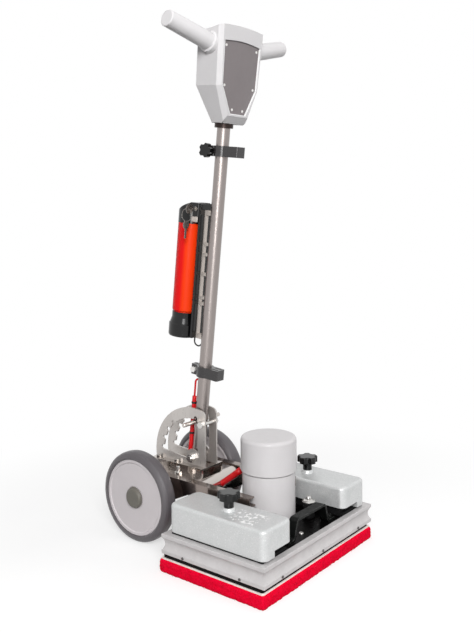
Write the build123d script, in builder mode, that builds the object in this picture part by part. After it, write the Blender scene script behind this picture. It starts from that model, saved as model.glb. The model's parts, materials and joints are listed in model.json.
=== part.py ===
from build123d import *
import os
from math import cos, degrees, hypot, radians, sin, tan

os.makedirs("parts", exist_ok=True)

# Sizes in millimetres. +Z is up, the front is -Y, the pad face lies on z = 0.

# Pad, driver and orbit
pad_width = 430.0
pad_length = 280.0
pad_thickness = 29.0
pad_corner = 5.0
hook_thickness = 2.8
hook_inset = 1.5
driver_thickness = 5.2
driver_inset = 5.0
driver_rib = 5.0
driver_rib_height = 8.0
driver_rib_end = 22.0
orbit_radius = 3.2
running_clearance = 0.05
press_gap = 0.02
bearing_radius = 21.0
bearing_height = 12.0
bearing_lift = 3.0
bearing_boss_wall = 11.0
crank_pin_radius = 8.5
crank_gap = 10.0
crank_flange_radius = 30.0
crank_deck_gap = 3.0
counterweight_radius = 66.0
counterweight_bore = 14.0
counterweight_height = 8.0

# Deck and skirt
skirt_gap = 4.0
skirt_height = 43.5
skirt_wall = 15.0
skirt_inset = 0.8
scoop_depth = 5.5
lip_height = 8.0
lip_round = 1.6
deck_thickness = 8.0
deck_drop = 4.0
skirt_screw_radius = 3.0
skirt_screw_height = 1.4
skirt_screw_inset = 62.0
skirt_screw_rise = 5.0
deck_corner = 3.0
deck_isolator_radius = 16.0
deck_isolator_inset = 36.0
rest_gap = 0.3

# Motor
motor_y = 5.5
motor_radius = 60.4
motor_seam_z = 197.0
motor_seam = 2.4
motor_cap_radius = 63.8
motor_top_z = 274.0
motor_cap_round = 8.0
motor_shaft_radius = 10.0
motor_shaft_rise = 37.5
motor_shaft_gap = 3.0
motor_foot_width = 5.0
motor_foot_height = 6.0
motor_neck = 3.0
motor_cap_wall = 3.0
motor_bearing_lift = 4.0
motor_bearing_radius = 23.5
motor_bearing_height = 14.0
gland_radius = 9.5

# Ballast weights, mats, studs and knobs
weight_arm_gap = 12.0
weight_ledge = 15.0
weight_end_gap = 10.0
weight_top_z = 150.0
weight_lip_z = 88.0
weight_under_z = 102.0
weight_lip_width = 34.0
weight_corner = 15.0
weight_round = 7.0
mat_inset = 9.0
mat_end_gap = 3.2
mat_rib_gap = 14.0
knob_boss_height = 7.0
knob_boss_radius = 15.0
stud_radius = 5.0
knob_stem_radius = 10.8
knob_top_z = 190.0
knob_head_height = 15.0
knob_radius = 24.5
knob_round = 3.0
knob_lobes = 5
stud_gap = 1.0
stud_rise = 24.0

# Lift handle
handle_inset = 22.9
handle_strip = 21.0
handle_thick = 5.0
handle_top_z = 127.0
handle_top_half = 55.0
handle_foot_half = 67.0
handle_foot_length = 26.0
handle_bend = 9.0
handle_bolt_flats = 13.0
handle_bolt_height = 5.5

# Side arms, cross plate and mast bracket
arm_inner_x = 87.0
sheet = 4.0
arm_top_z = 157.0
arm_bar_height = 22.0
arm_front_y = -10.0
arm_bar_rear_y = 150.0
arm_rear_y = 326.0
arm_low_z = 85.0
arm_neck_y = 236.0
arm_neck_z = 94.0
arm_foot_y = 262.0
arm_nose_round = 10.0
arm_flange_sheet = 3.0
arm_flange_gap = 20.0
arm_top_flange = 16.0
arm_low_flange = 24.0
isolator_radius = 12.0
isolator_front_y = 4.0
isolator_rear_inset = 17.0
apron_front_y = 137.0
apron_roll = 28.0
apron_drop = 12.0
bracket_half = 38.0
bracket_height = 17.0
bracket_front_y = 172.0
bracket_rear_y = 338.0
bracket_slot_half = 17.5
bracket_slot_front_y = 188.0
plate_bolt_flats = 15.0
plate_bolt_height = 8.0
plate_stud_radius = 4.5
plate_stud_rise = 12.0
plate_bolt_front = 54.0
plate_bolt_rear = 38.0
bracket_bolt_flats = 11.0
bracket_bolt_height = 6.0
bracket_bolt_front = 76.0
bracket_bolt_rear = 16.0

# Wheels
axle_y = 292.6
wheel_radius = 107.5
tyre_depth = 17.5
disc_face_x = 145.0
disc_web_x = 126.0
disc_dish = 2.0
disc_rim = 9.0
hub_radius = 26.0
tyre_inner_x = 106.5
tyre_outer_x = 148.0
tread_half = 5.0
hub_cap_radius = 23.0
hub_cap_face_x = 151.0
axle_radius = 10.0
bush_radius = 14.0
bush_flange = 6.0
bush_flange_thick = 4.0

# Mast, pivot and tilt lock
mast_lean = 6.44
pivot_y = 214.8
pivot_z = 188.0
tube_radius = 15.5
tube_wall = 2.5
tube_top_s = 862.0
pivot_radius = 6.0
sleeve_radius = 11.0
quadrant_inner_x = 19.0
quadrant_radius = 122.0
quadrant_front_y = 174.0
quadrant_leg = 23.0
quadrant_boss = 21.0
lock_bar_radius = 5.0
lock_bar_half = 65.7
lock_rest_s = 90.0
lock_travel = 8.2
lock_tip_gap = 0.4
tilt_max = 91.0
notch_tilts = (0.0, 46.0, 61.0, 76.0, tilt_max)
stop_bolt_radius = 5.0
stop_gap = 0.4
stop_s = 88.0
lock_slot_gap = 0.3
tooth_round = 2.2
quadrant_top_round = 13.0
quadrant_foot_round = 5.0
pivot_bolt_flats = 19.0
pivot_head = 8.0
pivot_nut = 10.0
stop_bolt_flats = 15.0
stop_bolt_head = 7.0
sleeve_gap = 0.5
tube_low = 12.0

# Clamps
clamp_height = 25.0
lower_clamp_s = 212.0
upper_clamp_s = 741.5
clamp_band = 5.5
clamp_block_half = 15.0
lower_block_front = 49.0
upper_block_front = 58.0
clamp_ear_rear = 38.0
clamp_ear_half = 9.0
clamp_split = 3.0
clamp_screw_n = 28.0
clamp_knob_radius = 17.0
clamp_knob_inner_x = 19.0
clamp_knob_outer_x = 31.0

# Battery, dock and rail
battery_n = 80.0
can_radius = 31.0
can_low_s = 349.0
can_high_s = 565.0
spigot_radius = 27.0
spigot_depth = 24.0
drum_radius = 36.5
drum_low_s = 285.0
drum_high_s = 319.0
base_top_s = 346.0
base_neck_radius = 30.5
base_neck = 14.0
drum_round = 5.0
cap_top_s = 616.0
cap_cut_s = 588.0
rail_inner_n = 30.5
rail_outer_n = 34.0
rail_half = 5.0
rail_low_s = 288.0
rail_high_s = 600.0
dock_half = 20.0
dock_plate = 6.0
dock_round = 6.0
dock_rib_half = 10.0
dock_outer_n = 48.0
dock_rise = 4.0
dock_high_s = 615.0
dock_rib_drop = 12.0
rail_tabs = (519.0, 494.0, 446.0, 389.0, 374.0)
latch_half = 22.0
latch_gap = 0.4
latch_drop = 4.0
latch_round = 4.0
lock_plug_radius = 5.5
lock_plug_n = 48.5
lock_plug_s = 602.0
lock_plug_face_x = 23.5
lock_plug_depth = 12.5
key_thick = 2.0
key_head_radius = 12.0
key_head_reach = 21.5
key_hole_reach = 29.5
key_hole = 1.8
key_blade = 7.0
spare_head_radius = 10.0
spare_head_drop = 8.0
spare_blade = 27.0
ring_radius = 15.0
ring_wire = 0.85

# Cables
sleeve_cable_radius = 5.3
motor_cable_radius = 6.5
lead_radius = 2.4
battery_lead_radius = 1.8
lead_hole_gap = 0.8
cable_x = -8.0
cable_n = 20.8
mast_lead_s = 190.0
sleeve_top_s = 146.0
sleeve_low_s = 14.0
cable_ties = (128.0, 92.0, 52.0)
tie_height = 4.5
tie_thick = 1.0

# Control head
head_front_n = 39.0
head_rear_n = 30.0
head_chamfer = 9.0
head_top_half = 80.0
head_top_s = 1019.0
head_arch = 5.0
head_kink_half = 74.0
head_kink_s = 886.0
head_low_half = 39.0
head_low_s = 806.0
head_top_fall = 0.223
head_lip_s = 823.0
head_lip_n = 26.0
head_heel_n = 19.0
head_heel_half = 22.0
head_cheek_n = 4.7
panel_recess = 6.0
panel_thick = 2.0
panel_gap = 0.3
panel_top_half = 64.0
panel_top_s = 986.0
panel_arch = 5.0
panel_kink_half = 61.0
panel_kink_s = 889.0
panel_low_half = 28.0
panel_low_s = 828.0
panel_screw_inset = 9.0
panel_screw_radius = 3.0
panel_screw_height = 1.2
cover_inset = 4.0
cover_top_s = 1000.0
cover_thick = 6.0
collar_radius = 22.0
collar_low_s = 796.0
grip_base_x = 76.0
grip_base_s = 979.8
grip_base_n = -5.6
grip_reach = (130.9, 12.2, 29.5)
grip_base_radius = 21.0
grip_end_radius = 18.6
grip_collar_radius = 25.0
grip_collar_length = 9.0
grip_collar_round = 3.0
grip_end_round = 3.0
rocker_s = 930.0
rocker_half_x = 9.0
rocker_half_s = 13.0
rocker_axis_n = 24.0
rocker_pin_radius = 2.0
rocker_gap = 2.5
rocker_proud = 3.0
rocker_tilt = 8.0

# The battery lead's path as (x, n, s), from the base's underside into the tube
battery_lead_path = ((0, 41.0, drum_low_s + dock_rise), (0, 41.0, 272.0), (0, 25.0, 267.0), (0, 7.0, 289.5))

# Levels and positions worked out from the sizes above
driver_low_z = pad_thickness + hook_thickness
driver_top_z = driver_low_z + driver_thickness
skirt_low_z = driver_top_z + skirt_gap
skirt_top_z = skirt_low_z + skirt_height
deck_top_z = skirt_top_z - deck_drop
deck_low_z = deck_top_z - deck_thickness
deck_y = -orbit_radius
pin_y = motor_y + deck_y + orbit_radius
shaft_y = motor_y + deck_y
skirt_half_x = pad_width / 2 - skirt_inset
skirt_half_y = pad_length / 2 - skirt_inset
inner_x = 2 * (skirt_half_x - skirt_wall)
inner_y = 2 * (skirt_half_y - skirt_wall)
handle_y = deck_y - inner_y / 2 + handle_inset
isolator_rear_y = deck_y + inner_y / 2 - isolator_rear_inset
disc_radius = wheel_radius - tyre_depth
arm_web_x = arm_inner_x + sheet
weight_inner_x = arm_web_x + weight_arm_gap
weight_outer_x = pad_width / 2 - weight_ledge
weight_length = pad_length - 2 * weight_end_gap
knob_x = (weight_inner_x + weight_outer_x) / 2
arm_bar_z = arm_top_z - arm_bar_height
plate_top_z = arm_top_z - arm_flange_sheet
plate_low_z = plate_top_z - sheet
bracket_top_z = plate_top_z + bracket_height
lean = radians(mast_lean)
along = Vector(0, -sin(lean), cos(lean))
rear = Vector(0, cos(lean), sin(lean))
pivot = Vector(0, pivot_y, pivot_z)
tip_radius = lock_rest_s + lock_bar_radius + lock_tip_gap
root_radius = lock_rest_s + lock_travel + lock_bar_radius + lock_slot_gap
stop_n = -(tube_radius + stop_bolt_radius + stop_gap)


def mast_point(x, n, s):
    """A point x across, n behind and s along the mast from its pivot."""
    return Vector(x, 0, 0) + pivot + rear * n + along * s


def across(s, n=0.0, x=0.0):
    """Plane square to the mast, local y to the rear."""
    return Plane(origin=mast_point(x, n, s), x_dir=(1, 0, 0), z_dir=along)


def facing(n):
    """Plane square to the front-rear line, local y up the mast, normal to the front."""
    return Plane(origin=mast_point(0, n, 0), x_dir=(1, 0, 0), z_dir=-rear)


def beside(x):
    """Plane square to X in the mast's lean, local x to the rear and y up the mast."""
    return Plane(origin=mast_point(x, 0, 0), x_dir=rear, z_dir=(1, 0, 0))


def level(z, y=0.0, x=0.0):
    return Plane(origin=(x, y, z), x_dir=(1, 0, 0), z_dir=(0, 0, 1))


def sideways(x, y=0.0, z=0.0):
    """Plane square to X, local x to +Y and local y to +Z."""
    return Plane(origin=(x, y, z), x_dir=(0, 1, 0), z_dir=(1, 0, 0))


def save(builder, name):
    builder.part.label = name
    export_step(builder.part, f"parts/{name}.step")


def disc(plane, radius, height, mode=Mode.ADD):
    with BuildSketch(plane) as outline:
        Circle(radius)
    extrude(outline.sketch, amount=height, mode=mode)


def hexagon(plane, flats, height):
    with BuildSketch(plane) as outline:
        RegularPolygon(flats / 2, 6, major_radius=False)
    extrude(outline.sketch, amount=height)


def star(plane, radius, lobes, height):
    """A star knob head: a disc scalloped between rounded lobes."""
    with BuildSketch(plane) as outline:
        Circle(radius)
        with PolarLocations(1.18 * radius, lobes):
            Circle(0.4 * radius, mode=Mode.SUBTRACT)
        fillet(outline.vertices(), 0.12 * radius)
    extrude(outline.sketch, amount=height)


def route(points, label):
    """A cord's centre line: straight runs with tangent bends, as wide as the runs allow."""
    radii = []
    for before, here, after in zip(points, points[1:], points[2:]):
        first, second = Vector(*here) - Vector(*before), Vector(*after) - Vector(*here)
        turn = radians(first.get_angle(second))
        radii.append(0.45 * min(first.length, second.length) / tan(turn / 2))
    print(label, "bend radii", [round(value, 1) for value in radii])
    with BuildLine() as line:
        if radii:
            FilletPolyline(*points, radius=radii)
        else:
            Line(*points)
    return line


def cord(points, radius, label):
    line = route(points, label)
    with BuildPart() as body:
        with BuildSketch(Plane(origin=line.line @ 0, z_dir=line.line % 0)):
            Circle(radius)
        sweep(path=line.line)
    return body


# Pad, hook plate and driver

with BuildPart() as scrub_pad:
    with BuildSketch(Plane.XY):
        RectangleRounded(pad_width, pad_length, pad_corner)
    extrude(amount=pad_thickness)
save(scrub_pad, "scrub_pad")

with BuildPart() as hook_plate:
    with BuildSketch(level(pad_thickness)):
        RectangleRounded(pad_width - 2 * hook_inset, pad_length - 2 * hook_inset, pad_corner)
    extrude(amount=hook_thickness)
save(hook_plate, "hook_plate")

bearing_bore = crank_pin_radius + running_clearance
bearing_low_z = driver_top_z + bearing_lift
boss_top_z = bearing_low_z + bearing_height
boss_radius = bearing_radius + bearing_boss_wall
rib_end_x = pad_width / 2 - driver_inset - driver_rib_end
rib_end_y = pad_length / 2 - driver_inset - driver_rib_end

with BuildPart() as pad_driver:
    with BuildSketch(level(driver_low_z)):
        RectangleRounded(pad_width - 2 * driver_inset, pad_length - 2 * driver_inset, pad_corner)
    extrude(amount=driver_thickness)
    with BuildSketch(level(driver_top_z)):
        Rectangle(2 * rib_end_x, driver_rib)
        Rectangle(driver_rib, 2 * rib_end_y)
    extrude(amount=driver_rib_height)
    disc(level(driver_top_z, pin_y), boss_radius, boss_top_z - driver_top_z)
    disc(level(bearing_low_z, pin_y), bearing_radius + press_gap, bearing_height, Mode.SUBTRACT)
    disc(level(driver_top_z, pin_y), bearing_bore + bearing_lift, bearing_lift, Mode.SUBTRACT)
save(pad_driver, "pad_driver")

with BuildPart() as driver_bearing:
    with BuildSketch(level(bearing_low_z, pin_y)):
        Circle(bearing_radius)
        Circle(bearing_bore, mode=Mode.SUBTRACT)
    extrude(amount=bearing_height)
save(driver_bearing, "driver_bearing")

flange_low_z = boss_top_z + crank_gap
flange_top_z = deck_low_z - crank_deck_gap
shaft_top_z = deck_top_z + motor_shaft_rise

with BuildPart() as eccentric_shaft:
    disc(level(flange_low_z, shaft_y), crank_flange_radius, flange_top_z - flange_low_z)
    disc(level(flange_top_z, shaft_y), motor_shaft_radius, shaft_top_z - flange_top_z)
    disc(level(bearing_low_z + 1, pin_y), crank_pin_radius, flange_low_z - bearing_low_z - 1)
save(eccentric_shaft, "eccentric_shaft")

with BuildPart() as counterweight:
    with BuildSketch(level(flange_low_z - counterweight_height, shaft_y)):
        Circle(counterweight_radius)
        Circle(counterweight_bore, mode=Mode.SUBTRACT)
        with Locations((0, counterweight_radius)):
            Rectangle(3 * counterweight_radius, 2 * counterweight_radius, mode=Mode.SUBTRACT)
    extrude(amount=counterweight_height)
save(counterweight, "counterweight")

# Deck and skirt


def scooped(half, plane, length):
    """A bar with the skirt's scooped face on both sides."""
    top, low = skirt_top_z, skirt_low_z
    middle = (top + low) / 2
    with BuildSketch(plane) as profile:
        with BuildLine():
            right = Polyline((0, low), (half - lip_round, low))
            RadiusArc(right @ 1, (half, low + lip_round), -lip_round)
            Line((half, low + lip_round), (half, low + lip_height))
            ThreePointArc((half, low + lip_height), (half - scoop_depth, middle), (half, top - lip_height))
            Line((half, top - lip_height), (half, top - lip_round))
            RadiusArc((half, top - lip_round), (half - lip_round, top), -lip_round)
            Polyline((half - lip_round, top), (0, top), (0, low))
        make_face()
        mirror(about=Plane.YZ)
    extrude(profile.sketch, amount=length / 2, both=True)


with BuildPart() as skirt_side_bar:
    scooped(skirt_half_x, Plane(origin=(0, deck_y, 0), x_dir=(1, 0, 0), z_dir=(0, -1, 0)), 2 * skirt_half_y)

with BuildPart() as skirt_frame:
    scooped(skirt_half_y, Plane(origin=(0, deck_y, 0), x_dir=(0, 1, 0), z_dir=(1, 0, 0)), 2 * skirt_half_x)
    add(skirt_side_bar.part, mode=Mode.INTERSECT)
    with BuildSketch(level(skirt_low_z, deck_y)):
        RectangleRounded(inner_x, inner_y, deck_corner)
    extrude(amount=skirt_height, mode=Mode.SUBTRACT)
save(skirt_frame, "skirt_frame")

with BuildPart() as skirt_screws:
    for screw_x in (skirt_screw_inset - skirt_half_x, 0, skirt_half_x - skirt_screw_inset):
        for sign in (-1, 1):
            face = Plane(origin=(screw_x, deck_y + sign * skirt_half_y, skirt_low_z + skirt_screw_rise),
                         x_dir=(1, 0, 0), z_dir=(0, sign, 0))
            disc(face, skirt_screw_radius, skirt_screw_height)
    for screw_y in (skirt_screw_inset - skirt_half_y, skirt_half_y - skirt_screw_inset):
        for sign in (-1, 1):
            face = Plane(origin=(sign * skirt_half_x, deck_y + screw_y, skirt_low_z + skirt_screw_rise),
                         x_dir=(0, 1, 0), z_dir=(sign, 0, 0))
            disc(face, skirt_screw_radius, skirt_screw_height)
save(skirt_screws, "skirt_screws")

with BuildPart() as deck_plate:
    with BuildSketch(level(deck_low_z, deck_y)):
        RectangleRounded(inner_x, inner_y, deck_corner)
        with Locations((0, motor_y)):
            Circle(motor_shaft_radius + 2 * motor_shaft_gap, mode=Mode.SUBTRACT)
    extrude(amount=deck_thickness)
save(deck_plate, "deck_plate")

with BuildPart() as deck_isolators:
    for sign_x in (-1, 1):
        for sign_y in (-1, 1):
            foot = level(driver_top_z + rest_gap, deck_y + sign_y * (inner_y / 2 - deck_isolator_inset),
                         sign_x * (inner_x / 2 - deck_isolator_inset))
            disc(foot, deck_isolator_radius, deck_low_z - driver_top_z - rest_gap)
save(deck_isolators, "deck_isolators")

# Motor
cable_low = Vector(0, 160, 118)
gland_mouth = Vector(0, shaft_y + motor_radius + 14, 184)
gland_dir = (cable_low - gland_mouth).normalized()

with BuildPart() as motor_body:
    disc(Plane(origin=gland_mouth - gland_dir * 40, z_dir=gland_dir), gland_radius, 40)
    split(bisect_by=level(motor_seam_z - motor_seam), keep=Keep.BOTTOM)
    disc(level(deck_top_z, shaft_y), motor_radius + motor_foot_width, motor_foot_height)
    disc(level(deck_top_z, shaft_y), motor_radius, motor_seam_z - motor_seam - deck_top_z)
    disc(level(motor_seam_z - motor_seam, shaft_y), motor_radius - motor_neck, motor_seam)
    disc(level(deck_top_z, shaft_y), motor_bearing_radius + press_gap,
         motor_bearing_lift + motor_bearing_height, Mode.SUBTRACT)
    disc(level(deck_top_z, shaft_y), motor_shaft_radius + motor_shaft_gap,
         motor_shaft_rise + motor_shaft_gap, Mode.SUBTRACT)
    disc(Plane(origin=gland_mouth - gland_dir * 8, z_dir=gland_dir), motor_cable_radius + 0.1, 20,
         Mode.SUBTRACT)
save(motor_body, "motor_body")

with BuildPart() as motor_bearing:
    with BuildSketch(level(deck_top_z + motor_bearing_lift, shaft_y)):
        Circle(motor_bearing_radius)
        Circle(motor_shaft_radius + running_clearance, mode=Mode.SUBTRACT)
    extrude(amount=motor_bearing_height)
save(motor_bearing, "motor_bearing")

with BuildPart() as motor_cap:
    disc(level(motor_seam_z, shaft_y), motor_cap_radius, motor_top_z - motor_seam_z)
    fillet(motor_cap.faces().sort_by(Axis.Z)[-1].edges(), motor_cap_round)
    fillet(motor_cap.faces().sort_by(Axis.Z)[0].edges(), 1.5)
    disc(level(motor_seam_z + motor_cap_wall, shaft_y), motor_cap_radius - motor_cap_wall,
         motor_top_z - motor_seam_z - motor_cap_wall - motor_cap_round, Mode.SUBTRACT)
save(motor_cap, "motor_cap")

# Ballast weights with their mats, studs and knobs


def ballast(sign):
    middle_x = sign * (weight_inner_x + weight_outer_x) / 2
    width = weight_outer_x - weight_inner_x
    with BuildPart() as weight:
        with BuildSketch(level(weight_lip_z, deck_y)):
            with Locations((middle_x, 0)):
                RectangleRounded(width, weight_length, weight_corner)
        extrude(amount=weight_top_z - weight_lip_z)
        with BuildSketch(level(weight_lip_z, deck_y)):
            with Locations((middle_x - sign * weight_lip_width, 0)):
                Rectangle(width, weight_length)
        extrude(amount=weight_under_z - weight_lip_z, mode=Mode.SUBTRACT)
        fillet(weight.faces().sort_by(Axis.Z)[-1].edges(), weight_round)
        with BuildSketch(level(weight_top_z, deck_y)):
            with Locations((sign * knob_x, 0)):
                Circle(knob_boss_radius)
        extrude(amount=knob_boss_height, taper=14)
        disc(level(weight_lip_z, deck_y, sign * knob_x), stud_radius + stud_gap, knob_top_z - weight_lip_z,
             Mode.SUBTRACT)
    return weight


def ballast_knob(sign):
    stem_low_z = weight_top_z + knob_boss_height + rest_gap
    with BuildPart() as knob:
        disc(level(stem_low_z, deck_y, sign * knob_x), knob_stem_radius, knob_top_z - stem_low_z)
        star(level(knob_top_z - knob_head_height, deck_y, sign * knob_x), knob_radius,
             knob_lobes, knob_head_height)
        fillet(knob.faces().sort_by(Axis.Z)[-1].edges(), knob_round)
        disc(level(stem_low_z, deck_y, sign * knob_x), stud_radius + running_clearance,
             stud_rise - knob_boss_height, Mode.SUBTRACT)
    return knob


for sign, side in ((-1, "left"), (1, "right")):
    save(ballast(sign), f"weight_{side}")
    save(ballast_knob(sign), f"weight_knob_{side}")

with BuildPart() as weight_mats:
    rib_width = weight_outer_x - weight_lip_width - mat_rib_gap - weight_inner_x - mat_inset
    for sign in (-1, 1):
        width = inner_x / 2 - weight_inner_x - mat_inset
        with BuildSketch(level(deck_top_z, deck_y)):
            with Locations((sign * (weight_inner_x + mat_inset + width / 2), 0)):
                Rectangle(width, inner_y - 2 * mat_end_gap)
        extrude(amount=weight_lip_z - deck_top_z)
        with BuildSketch(level(weight_lip_z, deck_y)):
            with Locations((sign * (weight_inner_x + mat_inset + rib_width / 2), 0)):
                Rectangle(rib_width, inner_y - 2 * mat_end_gap - 2 * mat_inset)
        extrude(amount=weight_under_z - weight_lip_z)
        disc(level(deck_top_z, deck_y, sign * knob_x), stud_radius + stud_gap, weight_top_z - deck_top_z,
             Mode.SUBTRACT)
save(weight_mats, "weight_mats")

# Lift handle
handle_mid_z = handle_top_z - handle_thick / 2
foot_z = deck_top_z + handle_thick / 2
foot_end = handle_foot_half + handle_foot_length

with BuildPart() as lift_handle:
    with BuildSketch(Plane(origin=(0, handle_y, 0), x_dir=(1, 0, 0), z_dir=(0, -1, 0))):
        with BuildLine():
            FilletPolyline((-foot_end, foot_z), (-handle_foot_half, foot_z), (-handle_top_half, handle_mid_z),
                           (handle_top_half, handle_mid_z), (handle_foot_half, foot_z), (foot_end, foot_z),
                           radius=handle_bend)
        trace(line_width=handle_thick)
    extrude(amount=handle_strip / 2, both=True)
save(lift_handle, "lift_handle")

with BuildPart() as deck_fasteners:
    for sign in (-1, 1):
        hexagon(level(deck_top_z + handle_thick, handle_y, sign * (foot_end - handle_foot_length / 3)),
                handle_bolt_flats, handle_bolt_height)
        disc(level(deck_top_z, deck_y, sign * knob_x), stud_radius, weight_top_z + stud_rise - deck_top_z)
save(deck_fasteners, "deck_fasteners")

# Side arms, isolators, cross plate and mast bracket


def side_arm(sign):
    web_x = sign * arm_inner_x if sign > 0 else -arm_web_x
    with BuildPart() as arm:
        with BuildSketch(sideways(web_x)) as web:
            with BuildLine():
                Polyline((arm_front_y, arm_top_z), (arm_front_y, arm_bar_z), (arm_bar_rear_y, arm_bar_z),
                         (arm_neck_y, arm_neck_z), (arm_foot_y, arm_low_z), (arm_rear_y, arm_low_z),
                         (arm_rear_y, arm_top_z),
                         close=True)
            make_face()
            fillet(web.vertices().group_by(Axis.Y)[0], arm_nose_round)
            with Locations((axle_y, wheel_radius)):
                Circle(axle_radius + press_gap, mode=Mode.SUBTRACT)
        extrude(amount=sheet)
        inner = sign * (arm_inner_x - arm_top_flange / 2)
        with BuildSketch(level(arm_top_z - arm_flange_sheet)):
            with Locations((inner, (arm_front_y + arm_rear_y) / 2)):
                Rectangle(arm_top_flange, arm_rear_y - arm_front_y)
        extrude(amount=arm_flange_sheet)
        low = sign * (arm_web_x - arm_low_flange / 2)
        with BuildSketch(level(arm_bar_z)):
            with Locations((low, (arm_front_y + arm_bar_rear_y - arm_flange_gap) / 2)):
                Rectangle(arm_low_flange, arm_bar_rear_y - arm_front_y - arm_flange_gap)
        extrude(amount=arm_flange_sheet)
    return arm


for sign, side in ((-1, "left"), (1, "right")):
    save(side_arm(sign), f"side_arm_{side}")

isolator_x = arm_web_x - arm_low_flange / 2

with BuildPart() as arm_isolators:
    for sign in (-1, 1):
        for iso_y in (isolator_front_y, isolator_rear_y):
            disc(level(deck_top_z, iso_y, sign * isolator_x), isolator_radius, arm_bar_z - deck_top_z)
save(arm_isolators, "arm_isolators")

cable_end = gland_mouth - gland_dir * 7.5
plate_mid_z = (plate_top_z + plate_low_z) / 2
slot_cable_y = 240.0

with BuildPart() as cross_plate:
    with BuildSketch(sideways(-arm_inner_x)):
        with BuildLine():
            flat = Line((arm_rear_y, plate_mid_z), (apron_front_y + apron_roll, plate_mid_z))
            roll = JernArc(flat @ 1, (-1, 0), apron_roll, 90)
            Line(roll @ 1, roll @ 1 + Vector(0, -apron_drop))
        trace(line_width=sheet)
    extrude(amount=2 * arm_inner_x)
    disc(Plane(origin=cable_low, z_dir=-gland_dir), motor_cable_radius + 2, 60, Mode.SUBTRACT)
    disc(level(plate_low_z - 5, slot_cable_y, cable_x), motor_cable_radius + 1.5, 20, Mode.SUBTRACT)
save(cross_plate, "cross_plate")

with BuildPart() as mast_bracket:
    with BuildSketch(Plane(origin=(0, bracket_rear_y, plate_top_z), x_dir=(1, 0, 0), z_dir=(0, -1, 0))):
        with BuildLine():
            Polyline((-bracket_half, 0), (-bracket_half, bracket_height), (bracket_half, bracket_height),
                     (bracket_half, 0), (bracket_half - sheet, 0),
                     (bracket_half - sheet, bracket_height - sheet),
                     (-bracket_half + sheet, bracket_height - sheet), (-bracket_half + sheet, 0), close=True)
        make_face()
    extrude(amount=bracket_rear_y - bracket_front_y)
    slot_length = bracket_rear_y - bracket_slot_front_y
    with BuildSketch(level(plate_top_z, bracket_slot_front_y + slot_length / 2)):
        Rectangle(2 * bracket_slot_half, slot_length)
    extrude(amount=bracket_height + 1, mode=Mode.SUBTRACT)
save(mast_bracket, "mast_bracket")

# Notched quadrants: the bar runs free inside the tooth tips and seats in a notch at each set tilt


def quadrant(sign):
    plane_x = quadrant_inner_x if sign > 0 else -quadrant_inner_x - sheet
    window_front = quadrant_front_y + quadrant_leg - pivot_y
    foot = bracket_top_z - pivot_z
    low_angle = 90 + mast_lean - tilt_max
    low_edge = lock_bar_radius + lock_slot_gap
    reach = 3 * quadrant_radius
    with BuildPart() as plate:
        with BuildSketch(sideways(plane_x, pivot_y, pivot_z)) as window:
            Circle(tip_radius)
            with Locations((window_front + reach / 2, 0)):
                Rectangle(reach, reach, mode=Mode.INTERSECT)
            for tilt in notch_tilts:
                angle = radians(90 + mast_lean - tilt)
                seat = root_radius - low_edge
                start = 0.7 * seat
                middle = (seat + start) / 2
                place = (middle * cos(angle), middle * sin(angle), 0)
                with Locations(Location(place, (0, 0, degrees(angle)))):
                    SlotOverall(seat - start + 2 * low_edge, 2 * low_edge)
            turned = radians(low_angle)
            below = reach / 2 + low_edge
            with Locations((sin(turned) * below, -cos(turned) * below)):
                Rectangle(reach, reach, rotation=low_angle, mode=Mode.SUBTRACT)
            Circle(quadrant_boss, mode=Mode.SUBTRACT)
        extrude(amount=sheet)
    window_part = plate.part
    with BuildPart() as plate:
        with BuildSketch(sideways(plane_x, pivot_y, pivot_z)) as outline:
            Circle(quadrant_radius)
            with Locations((quadrant_front_y - pivot_y + reach / 2, foot + reach / 2)):
                Rectangle(reach, reach, mode=Mode.INTERSECT)
            Circle(pivot_radius + press_gap, mode=Mode.SUBTRACT)
            stop = mast_point(0, stop_n, stop_s)
            with Locations((stop.Y - pivot_y, stop.Z - pivot_z)):
                Circle(stop_bolt_radius + press_gap, mode=Mode.SUBTRACT)
        extrude(amount=sheet)
        add(window_part, mode=Mode.SUBTRACT)
        corners = plate.edges().filter_by(Axis.X)
        front = [e for e in corners if abs(e.center().Y - quadrant_front_y) < 0.2]
        foot_line = [e for e in corners if abs(e.center().Z - bracket_top_z) < 0.2]
        fillet([max(front, key=lambda e: e.center().Z)], quadrant_top_round)
        fillet([max(foot_line, key=lambda e: e.center().Y)], quadrant_foot_round)
        tooth = [e for e in plate.edges().filter_by(Axis.X)
                 if abs(hypot(e.center().Y - pivot_y, e.center().Z - pivot_z) - tip_radius) < 0.3
                 and e.center().Y - pivot_y > window_front + lock_bar_radius * 2]
        fillet(tooth, tooth_round)
    return plate


for sign, side in ((-1, "left"), (1, "right")):
    save(quadrant(sign), f"quadrant_{side}")

quadrant_face_x = quadrant_inner_x + sheet
stop_at = mast_point(0, stop_n, stop_s)

with BuildPart() as lock_bar:
    with BuildSketch(beside(-lock_bar_half)):
        with Locations((0, lock_rest_s)):
            Circle(lock_bar_radius)
    extrude(amount=2 * lock_bar_half)
    chamfer(lock_bar.edges(), 1)
save(lock_bar, "lock_bar")

with BuildPart() as pivot_bolt:
    pin_length = 2 * quadrant_face_x + pivot_nut + 4
    disc(sideways(quadrant_face_x - pin_length, pivot_y, pivot_z), pivot_radius, pin_length)
    hexagon(sideways(quadrant_face_x, pivot_y, pivot_z), pivot_bolt_flats, pivot_head)
save(pivot_bolt, "pivot_bolt")

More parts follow.
